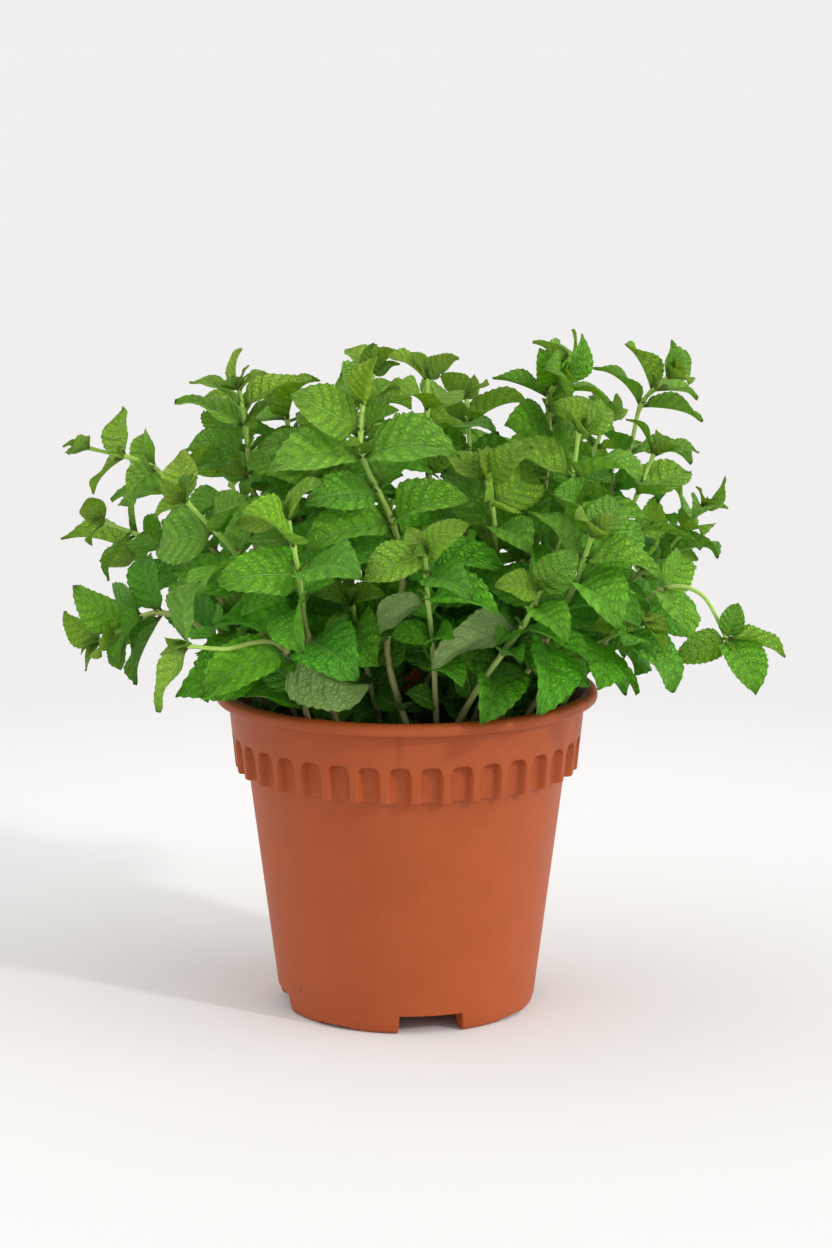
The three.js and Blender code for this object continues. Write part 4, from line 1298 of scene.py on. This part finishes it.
@functools.cache
def vein_group():
    """A mint leaf's veins and the puffed cells between them, from the place along and across it."""
    tree, given = shader_group(
        "Leaf veins",
        [("Along", "NodeSocketFloat", 0.5), ("Across", "NodeSocketFloat", 0.0),
         ("Chance", "NodeSocketFloat", 0.0), ("Side veins", "NodeSocketFloat", 7.0)],
        ["Veins", "Puff", "Midrib"],
    )
    s, v, chance = given["Along"], given["Across"], given["Chance"]
    wing = abs(v)
    midrib = wing.smooth(0.055, 0.015)
    phase = vein_phase(s, wing, given["Side veins"], chance)
    from_vein = abs((phase + 0.5).fraction() - 0.5)
    side_vein = from_vein.smooth(0.1, 0.02) * wing.smooth(1.0, 0.85)
    spot = join_xyz(tree, s * 17.0, v * 5.6, chance * 40.0)
    inputs = {"Vector": spot, "Scale": 1.0, "Randomness": 0.85}
    cells = place(tree, "ShaderNodeTexVoronoi", inputs, feature="DISTANCE_TO_EDGE")
    edge = Value(tree, cells.outputs["Distance"])
    small_vein = edge.smooth(0.09, 0.01)
    veins = midrib.most(side_vein * 0.85).most(small_vein * 0.4)
    puff = edge.smooth(0.0, 0.45) * 0.55 + from_vein.smooth(0.0, 0.4) * 0.45
    end_group(tree, Veins=veins, Puff=puff * (1.0 - midrib), Midrib=midrib)
    return tree


def terracotta(settings):
    """Matte moulded plastic, a little uneven, paler where it is rubbed, with specks of soil."""
    material, tree, shader = new_material("terracotta plastic")
    vector = object_vector(tree)
    mottle = mottled(tree, vector, patches=38.0, grain=1400.0)
    body = settings.plastic
    pale = tuple(c * 1.06 + 0.003 for c in body[:3]) + (1,)
    deep = tuple(c * 0.96 for c in body[:3]) + (1,)
    colour = mixed(tree, mottle["Patches"], deep, pale)
    streaks = place(tree, "ShaderNodeMapping", {"Vector": vector, "Scale": (1.0, 1.0, 0.12)})
    inputs = {"Vector": streaks.outputs[0], "Scale": 95.0, "Detail": 3.0}
    streak = Value(tree, place(tree, "ShaderNodeTexNoise", inputs).outputs[0]).smooth(0.55, 0.8)
    colour = mixed(tree, streak * 0.22, colour, pale)
    inputs = {"Vector": vector, "Scale": 120.0}
    cells = place(tree, "ShaderNodeTexVoronoi", inputs)
    rare = split(tree, cells.outputs["Color"])[0].over(0.985)
    speck = Value(tree, cells.outputs["Distance"]).smooth(0.11, 0.07) * rare
    height = split(tree, vector)[2]
    splash = height.smooth(0.085, 0.128) * (mottle["Patches"] * streak).smooth(0.3, 0.9) * 0.4
    colour = mixed(tree, speck.most(splash), colour, (0.028, 0.014, 0.009, 1))
    feed(tree, shader.inputs["Base Color"], colour)
    roughness = mottle["Patches"] * 0.12 + mottle["Grain"] * 0.06 + 0.4 + speck * 0.3
    feed(tree, shader.inputs["Roughness"], roughness)
    shader.inputs["Specular IOR Level"].default_value = 0.25
    bumped(tree, shader, mottle["Grain"] * 0.6 + mottle["Patches"] * 0.8 + speck * 2.0, 0.00012)
    return material


def earth(settings):
    """Dark potting compost with fibres and a few pale grains."""
    material, tree, shader = new_material("potting compost")
    vector = object_vector(tree)
    mottle = mottled(tree, vector, patches=220.0, grain=1800.0)
    grit = attribute(tree, "grit")
    colour = mixed(tree, mottle["Patches"], (0.008, 0.005, 0.0035, 1), settings.soil)
    colour = mixed(tree, grit.smooth(0.55, 0.95) * 0.6, colour, (0.075, 0.04, 0.02, 1))
    colour = mixed(tree, grit.over(0.985), colour, (0.5, 0.47, 0.42, 1))
    feed(tree, shader.inputs["Base Color"], colour)
    feed(tree, shader.inputs["Roughness"], 0.82 + mottle["Grain"] * 0.15)
    bumped(tree, shader, mottle["Grain"] + mottle["Patches"] * 2.0, 0.0005)
    return material


def stem_skin(settings):
    """Olive stem, browner low down and redder at its knots, with fine ribs along it."""
    material, tree, shader = new_material("mint stem")
    vector = object_vector(tree)
    mottle = mottled(tree, vector, patches=110.0, grain=1500.0)
    rise, knot = attribute(tree, "rise"), attribute(tree, "knot")
    colour = mixed(tree, rise.smooth(0.0, 0.85), settings.old_stem, settings.young_stem)
    red = (mottle["Patches"] * 0.5 + knot * 0.6) * rise.smooth(0.85, 0.3, 0.1, 1.0)
    colour = mixed(tree, red * 0.55, colour, (0.4, 0.2, 0.12, 1))
    colour = mixed(tree, mottle["Grain"] * 0.18, colour, (0.34, 0.4, 0.16, 1))
    feed(tree, shader.inputs["Base Color"], colour)
    feed(tree, shader.inputs["Roughness"], mottle["Grain"] * 0.15 + 0.42)
    shader.inputs["Sheen Weight"].default_value = 0.08
    shader.inputs["Sheen Roughness"].default_value = 0.4
    bumped(tree, shader, mottle["Grain"] + mottle["Patches"] * 1.5, 0.0002)
    return material


def leaf_skin(settings):
    """A mint leaf: green above with pale veins, greyer below, yellower when young, and darker at
    its tip, with painted shade in the creases by its veins and low in the middle of the plant."""
    material, tree, shader = new_material("mint leaf")
    vector = object_vector(tree)
    mottle = mottled(tree, vector, patches=95.0, grain=1600.0)
    blade = place(tree, "ShaderNodeAttribute", attribute_name="blade").outputs["Vector"]
    s, v, sheet = split(tree, blade)
    chance, youth, pallor = (attribute(tree, name) for name in ("chance", "youth", "pallor"))
    veins = use_group(tree, vein_group(), Along=s, Across=v, Chance=chance)

    upper = mixed(tree, youth.smooth(0.05, 0.9), settings.old_leaf, settings.young_leaf)
    upper = mixed(tree, chance.smooth(0.3, 1.0) * 0.4, upper, settings.blue_leaf)
    upper = mixed(tree, mottle["Patches"] * 0.35, upper, (0.55, 0.68, 0.55, 1), "MULTIPLY")
    # painted shade: the colour darkens in the creases along the veins, between the puffed cells
    upper = mixed(tree, (1.0 - veins["Puff"]) * 0.52, upper, (0.26, 0.42, 0.2, 1), "MULTIPLY")
    upper = mixed(tree, (chance * 7.0).fraction() * 0.4, upper, (0.45, 0.6, 0.55, 1), "MULTIPLY")
    x, y, z = split(tree, vector)
    # painted shade: leaves low in the middle of the plant are darkened, where the foliage shades
    # them
    painted_centre_shade = (x * x + y * y).smooth(0.0075, 0.0035) * z.smooth(0.18, 0.135)
    upper = mixed(tree, painted_centre_shade * 0.5, upper, (0.3, 0.3, 0.3, 1), "MULTIPLY")
    upper = mixed(tree, veins["Midrib"] * 0.5, upper, settings.vein)
    upper = mixed(tree, veins["Veins"] * 0.2, upper, settings.vein)
    under = mixed(tree, mottle["Patches"] * 0.6, settings.underside, (0.3, 0.48, 0.13, 1))
    under = mixed(tree, veins["Veins"] * 0.5, under, (0.44, 0.6, 0.24, 1))
    under = mixed(tree, pallor, upper, under)
    green = mixed(tree, sheet.smooth(-0.1, 0.1), under, upper)
    margin = abs(v).smooth(0.93, 1.0) * s.smooth(0.12, 0.3)
    point = s.smooth(0.955, 1.0)
    scorch = (margin * 0.35 * mottle["Patches"]).most(point * chance.smooth(0.2, 0.7) * 0.85)
    green = mixed(tree, scorch, green, (0.075, 0.045, 0.02, 1))
    stalk = s.smooth(0.16, 0.06)
    green = mixed(tree, stalk * 0.8, green, (0.17, 0.27, 0.075, 1))
    feed(tree, shader.inputs["Base Color"], green)
    shine = mottle["Patches"] * 0.14 + veins["Veins"] * 0.1 + 0.36
    feed(tree, shader.inputs["Roughness"], shine + sheet.smooth(0.1, -0.1) * 0.25)
    shader.inputs["Specular IOR Level"].default_value = 0.5
    height = veins["Puff"] * 1.2 - veins["Veins"] * 0.9 + mottle["Grain"] * 0.25
    height = height * sheet.sign()
    bumped(tree, shader, height, 0.0016, 1.0)
    glow = place(tree, "ShaderNodeBsdfTranslucent")
    feed(tree, glow.inputs["Color"], mixed(tree, 1.0, green, (1.9, 1.5, 0.7, 1), "MULTIPLY"))
    blend = place(tree, "ShaderNodeMixShader", {0: 0.38})
    tree.links.new(shader.outputs[0], blend.inputs[1])
    tree.links.new(glow.outputs[0], blend.inputs[2])
    output = next(node for node in tree.nodes if node.type == "OUTPUT_MATERIAL")
    tree.links.new(blend.outputs[0], output.inputs["Surface"])
    return material


def paper(settings):
    """The plain pale floor, with painted shade that darkens it far away, where the light falls off.
    """
    material, tree, shader = new_material("studio floor")
    x, y, _ = split(tree, object_vector(tree))
    # painted shade: the floor's colour darkens away from the pot, in place of light that falls off
    # with distance
    far = (x * x + y * y).smooth(0.02, 0.4)
    floor = mixed(tree, far, settings.floor, settings.shaded_far_floor)
    feed(tree, shader.inputs["Base Color"], floor)
    shader.inputs["Roughness"].default_value = 0.9
    shader.inputs["Specular IOR Level"].default_value = 0.1
    return material


# ---- Settings ----


def colour_setting(name, description, default):
    return bpy.props.FloatVectorProperty(
        name=name, description=description, subtype="COLOR",
        size=4, min=0, max=1, default=(*default, 1)
    )


def length_setting(name, description, default):
    return bpy.props.FloatProperty(
        name=name, description=description, unit="LENGTH", default=default, min=0
    )


def share_setting(name, description, default, most):
    return bpy.props.FloatProperty(
        name=name, description=description, subtype="FACTOR", default=default, min=0, max=most
    )


def strength_setting(name, description, default):
    return bpy.props.FloatProperty(name=name, description=description, default=default, min=0)


class MintPotSettings(bpy.types.PropertyGroup):
    """Sizes and colours of the pot and its soil."""

    lip_height: length_setting("Lip height", "Height of the rolled lip", 0.0045)
    flutes: bpy.props.IntProperty(
        name="Flutes", description="Number of grooves round the collar", default=36, min=6, max=72)
    flute_depth: length_setting("Flute depth", "Depth of a groove at the collar's foot", 0.0027)
    plastic: colour_setting("Plastic", "Colour of the pot", (0.358, 0.07, 0.015))
    soil: colour_setting("Soil", "Colour of the compost", (0.03, 0.017, 0.01))


class MintPlantSettings(bpy.types.PropertyGroup):
    """Sizes and colours of the plant."""

    tooth_depth: share_setting(
        "Tooth depth", "Depth of a leaf's teeth as a share of its length", 0.022, most=0.1)
    vein_height: share_setting(
        "Vein relief", "Relief between side veins as a share of the leaf's length", 0.02, most=0.05)
    margin_wave: share_setting(
        "Margin wave", "How much a leaf's edge waves as a share of its length", 0.035, most=0.2)
    old_leaf: colour_setting("Full-grown leaf", "Colour of a full-grown leaf", (0.29, 0.87, 0.03))
    young_leaf: colour_setting("Young leaf", "Colour of a leaf at a tip", (0.68, 0.98, 0.11))
    blue_leaf: colour_setting("Cool leaf", "Green that some leaves lean to", (0.15, 0.74, 0.08))
    vein: colour_setting("Vein", "Colour of the veins", (0.5, 0.85, 0.25))
    underside: colour_setting("Underside", "Colour of a leaf's underside", (0.42, 0.6, 0.21))
    old_stem: colour_setting("Old stem", "Colour of a stem near the soil", (0.27, 0.26, 0.1))
    young_stem: colour_setting("Young stem", "Colour of a stem near its tip", (0.44, 0.72, 0.11))


class MintStageSettings(bpy.types.PropertyGroup):
    """The floor, the light and the camera."""

    floor: colour_setting("Floor", "Colour of the floor", (0.775, 0.768, 0.762))
    # The far floor colour is painted shade: light falling off far from the pot
    shaded_far_floor: colour_setting("Far floor", "Colour of the floor far away", (0.672, 0.662, 0.662))
    backdrop: colour_setting("Backdrop", "Colour seen beyond the floor", (0.875, 0.86, 0.86))
    surround: strength_setting("Surround", "Brightness of the light from all round", 0.82)
    key: strength_setting("Key light", "Strength of the light from the right", 0.93)
    soft: strength_setting("Soft light", "Strength of the wide light from the right", 1.5)
    fill: strength_setting("Fill light", "Strength of the wide light from the left", 0.9)


def pot_settings():
    return bpy.context.scene.mint_pot


def plant_settings():
    return bpy.context.scene.mint_plant


# ---- Operators ----


def fasten(piece, slot, *nodes):
    """Every piece rides on the one body, and the CAD parts that it shows in place of are hidden."""
    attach(piece, "root")
    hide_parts(*nodes)


def two_digits(name, i):
    return f"{name}_{i + 1:02d}"


class MINT_OT_pot(bpy.types.Operator):
    """Makes the pot: its notched foot, tapering body, fluted collar and rolled lip"""

    bl_idname = "mint.pot"
    bl_label = "Pot"

    def execute(self, context):
        settings = pot_settings()
        pot = new_object("nursery_pot", pot_mesh(settings))
        cutter = drain_cutter()
        drill = pot.modifiers.new("Drain holes", "BOOLEAN")
        drill.operation, drill.object, drill.solver = "DIFFERENCE", cutter, "EXACT"
        graph = context.evaluated_depsgraph_get()
        mesh = bpy.data.meshes.new_from_object(pot.evaluated_get(graph), depsgraph=graph)
        pot.modifiers.clear()
        pot.data = mesh
        bpy.data.objects.remove(cutter)
        mesh.shade_smooth()
        mesh.set_sharp_from_angle(angle=math.radians(38))
        mesh.materials.clear()
        mesh.materials.append(terracotta(settings))
        fasten(pot, "pot", "pot")
        return {"FINISHED"}


class MINT_OT_soil(bpy.types.Operator):
    """Makes the soil and its crumbs"""

    bl_idname = "mint.soil"
    bl_label = "Soil"

    def execute(self, context):
        settings = pot_settings()
        soil = new_object("potting_soil", soil_mesh(settings))
        set_attribute(soil.data, "grit", [0.0] * len(soil.data.vertices))
        grow_meshes(crumb_tree(), [soil], Material=earth(settings))
        soil.data.shade_smooth()
        fasten(soil, "soil", "soil")
        return {"FINISHED"}


class MINT_OT_stalks(bpy.types.Operator):
    """Makes the square stems"""

    bl_idname = "mint.stalks"
    bl_label = "Stems"

    def execute(self, context):
        shoots, _joined, _own = grown()
        stalks = [stalk_points(two_digits("stalk", i), shoot) for i, shoot in enumerate(shoots)]
        grow_meshes(stalk_tree(), stalks, Material=stem_skin(plant_settings()))
        for i, stalk in enumerate(stalks):
            fasten(stalk, "stem", two_digits("stem", i))
        return {"FINISHED"}


class MINT_OT_foliage(bpy.types.Operator):
    """Makes the leaves: each stem's own with its buds, and the ones that stand out singly"""

    bl_idname = "mint.foliage"
    bl_label = "Leaves"

    def execute(self, context):
        settings = plant_settings()
        shoots, joined, own = grown()
        spots = spots_on(own + [leaf for leaves in joined for leaf in leaves])
        bunches = []
        for i, shoot in enumerate(shoots):
            small = sprigs(shoot, i) + low_leaves(shoot, i)
            small = [leaf for leaf in small if is_clear(leaf, spots)]
            leaves = joined[i] + added_leaves(shoot, i) + buds(shoot, i) + small
            bunches.append(leaf_points(two_digits("foliage", i), leaves))
        blades = [leaf_points(two_digits("blade", i), [leaf]) for i, leaf in enumerate(own)]
        inputs = {
            "Material": leaf_skin(settings),
            "Tooth depth": settings.tooth_depth,
            "Vein height": settings.vein_height,
            "Margin wave": settings.margin_wave,
        }
        grow_meshes(leaf_tree(), bunches + blades, **inputs)
        for i, bunch in enumerate(bunches):
            fasten(bunch, "leaf", two_digits("stem", i))
        for i, blade in enumerate(blades):
            fasten(blade, "leaf", two_digits("leaf", i))
        return {"FINISHED"}


# Each lamp's name, its direction and its width in degrees. Its strength is a setting of that name.
LAMPS = (
    ("key", (-0.8, 0.57, -0.56), 4),
    ("soft", (-0.9, 0.35, -0.42), 70),
    ("fill", (1, 0.15, -0.55), 90),
)
CAMERA_PLACE = (0.0037, -1.195, 0.375)
CAMERA_PITCH = 0.185
SENSOR = 36
LENS = 89.54
FLOOR_RADIUS, FLOOR_SIDES = 200, 96


class MINT_OT_stage(bpy.types.Operator):
    """Makes the floor, the light and the camera"""

    bl_idname = "mint.stage"
    bl_label = "Stage"

    def execute(self, context):
        scene = context.scene
        settings = scene.mint_stage
        turns = [2 * math.pi * i / FLOOR_SIDES for i in range(FLOOR_SIDES)]
        points = [(FLOOR_RADIUS * math.cos(a), FLOOR_RADIUS * math.sin(a), 0) for a in turns]
        faces = [tuple(range(FLOOR_SIDES))]
        floor = new_object("studio_floor", mesh_from("studio_floor", points, faces))
        floor.data.materials.append(paper(settings))
        world = bpy.data.worlds.new("studio")
        world.use_nodes = True
        tree = world.node_tree
        light = next(node for node in tree.nodes if node.type == "BACKGROUND")
        light.inputs["Color"].default_value = (1.0, 0.995, 0.99, 1)
        light.inputs["Strength"].default_value = settings.surround
        seen = place(tree, "ShaderNodeBackground", {"Color": settings.backdrop})
        by_camera = place(tree, "ShaderNodeLightPath").outputs["Is Camera Ray"]
        inputs = {0: by_camera, 1: light.outputs[0], 2: seen.outputs[0]}
        output = next(node for node in tree.nodes if node.type == "OUTPUT_WORLD")
        both = place(tree, "ShaderNodeMixShader", inputs)
        tree.links.new(both.outputs[0], output.inputs["Surface"])
        scene.world = world
        for name, direction, width in LAMPS:
            light = bpy.data.lights.new(name, "SUN")
            light.energy, light.angle = getattr(settings, name), math.radians(width)
            lamp = new_object(name, light)
            lamp.rotation_euler = Vector(direction).to_track_quat("-Z", "Y").to_euler()
        camera = bpy.data.cameras.new("camera")
        camera.sensor_fit, camera.sensor_height = "VERTICAL", SENSOR
        camera.lens = LENS
        camera.clip_end = 2 * FLOOR_RADIUS
        eye = new_object("camera", camera)
        eye.location = CAMERA_PLACE
        eye.rotation_euler = (math.pi / 2 - CAMERA_PITCH, 0, 0)
        scene.camera = eye
        scene.view_settings.view_transform = "Standard"
        return {"FINISHED"}


class MINT_PT_panel(bpy.types.Panel):
    """Lists the plant's settings and its pieces"""

    bl_idname = "MINT_PT_panel"
    bl_label = "Potted mint plant"
    bl_space_type = "VIEW_3D"
    bl_region_type = "UI"
    bl_category = "Mint"

    def draw(self, context):
        layout = self.layout
        scene = context.scene
        for settings in (scene.mint_pot, scene.mint_plant, scene.mint_stage):
            box = layout.box()
            for name in settings.bl_rna.properties.keys():
                if name not in ("rna_type", "name"):
                    box.prop(settings, name)
        for operator in OPERATORS:
            layout.operator(operator.bl_idname)


OPERATORS = (MINT_OT_stage, MINT_OT_pot, MINT_OT_soil, MINT_OT_stalks, MINT_OT_foliage)
SETTINGS = {
    "mint_pot": MintPotSettings,
    "mint_plant": MintPlantSettings,
    "mint_stage": MintStageSettings,
}


def register():
    for part in (*SETTINGS.values(), *OPERATORS, MINT_PT_panel):
        bpy.utils.register_class(part)
    for name, settings in SETTINGS.items():
        setattr(bpy.types.Scene, name, bpy.props.PointerProperty(type=settings))


def unregister():
    for name in SETTINGS:
        delattr(bpy.types.Scene, name)
    for part in reversed((*SETTINGS.values(), *OPERATORS, MINT_PT_panel)):
        bpy.utils.unregister_class(part)


def main():
    register()
    bpy.ops.mint.stage()
    bpy.ops.mint.pot()
    bpy.ops.mint.soil()
    bpy.ops.mint.stalks()
    bpy.ops.mint.foliage()


if __name__ == "__main__":
    main()
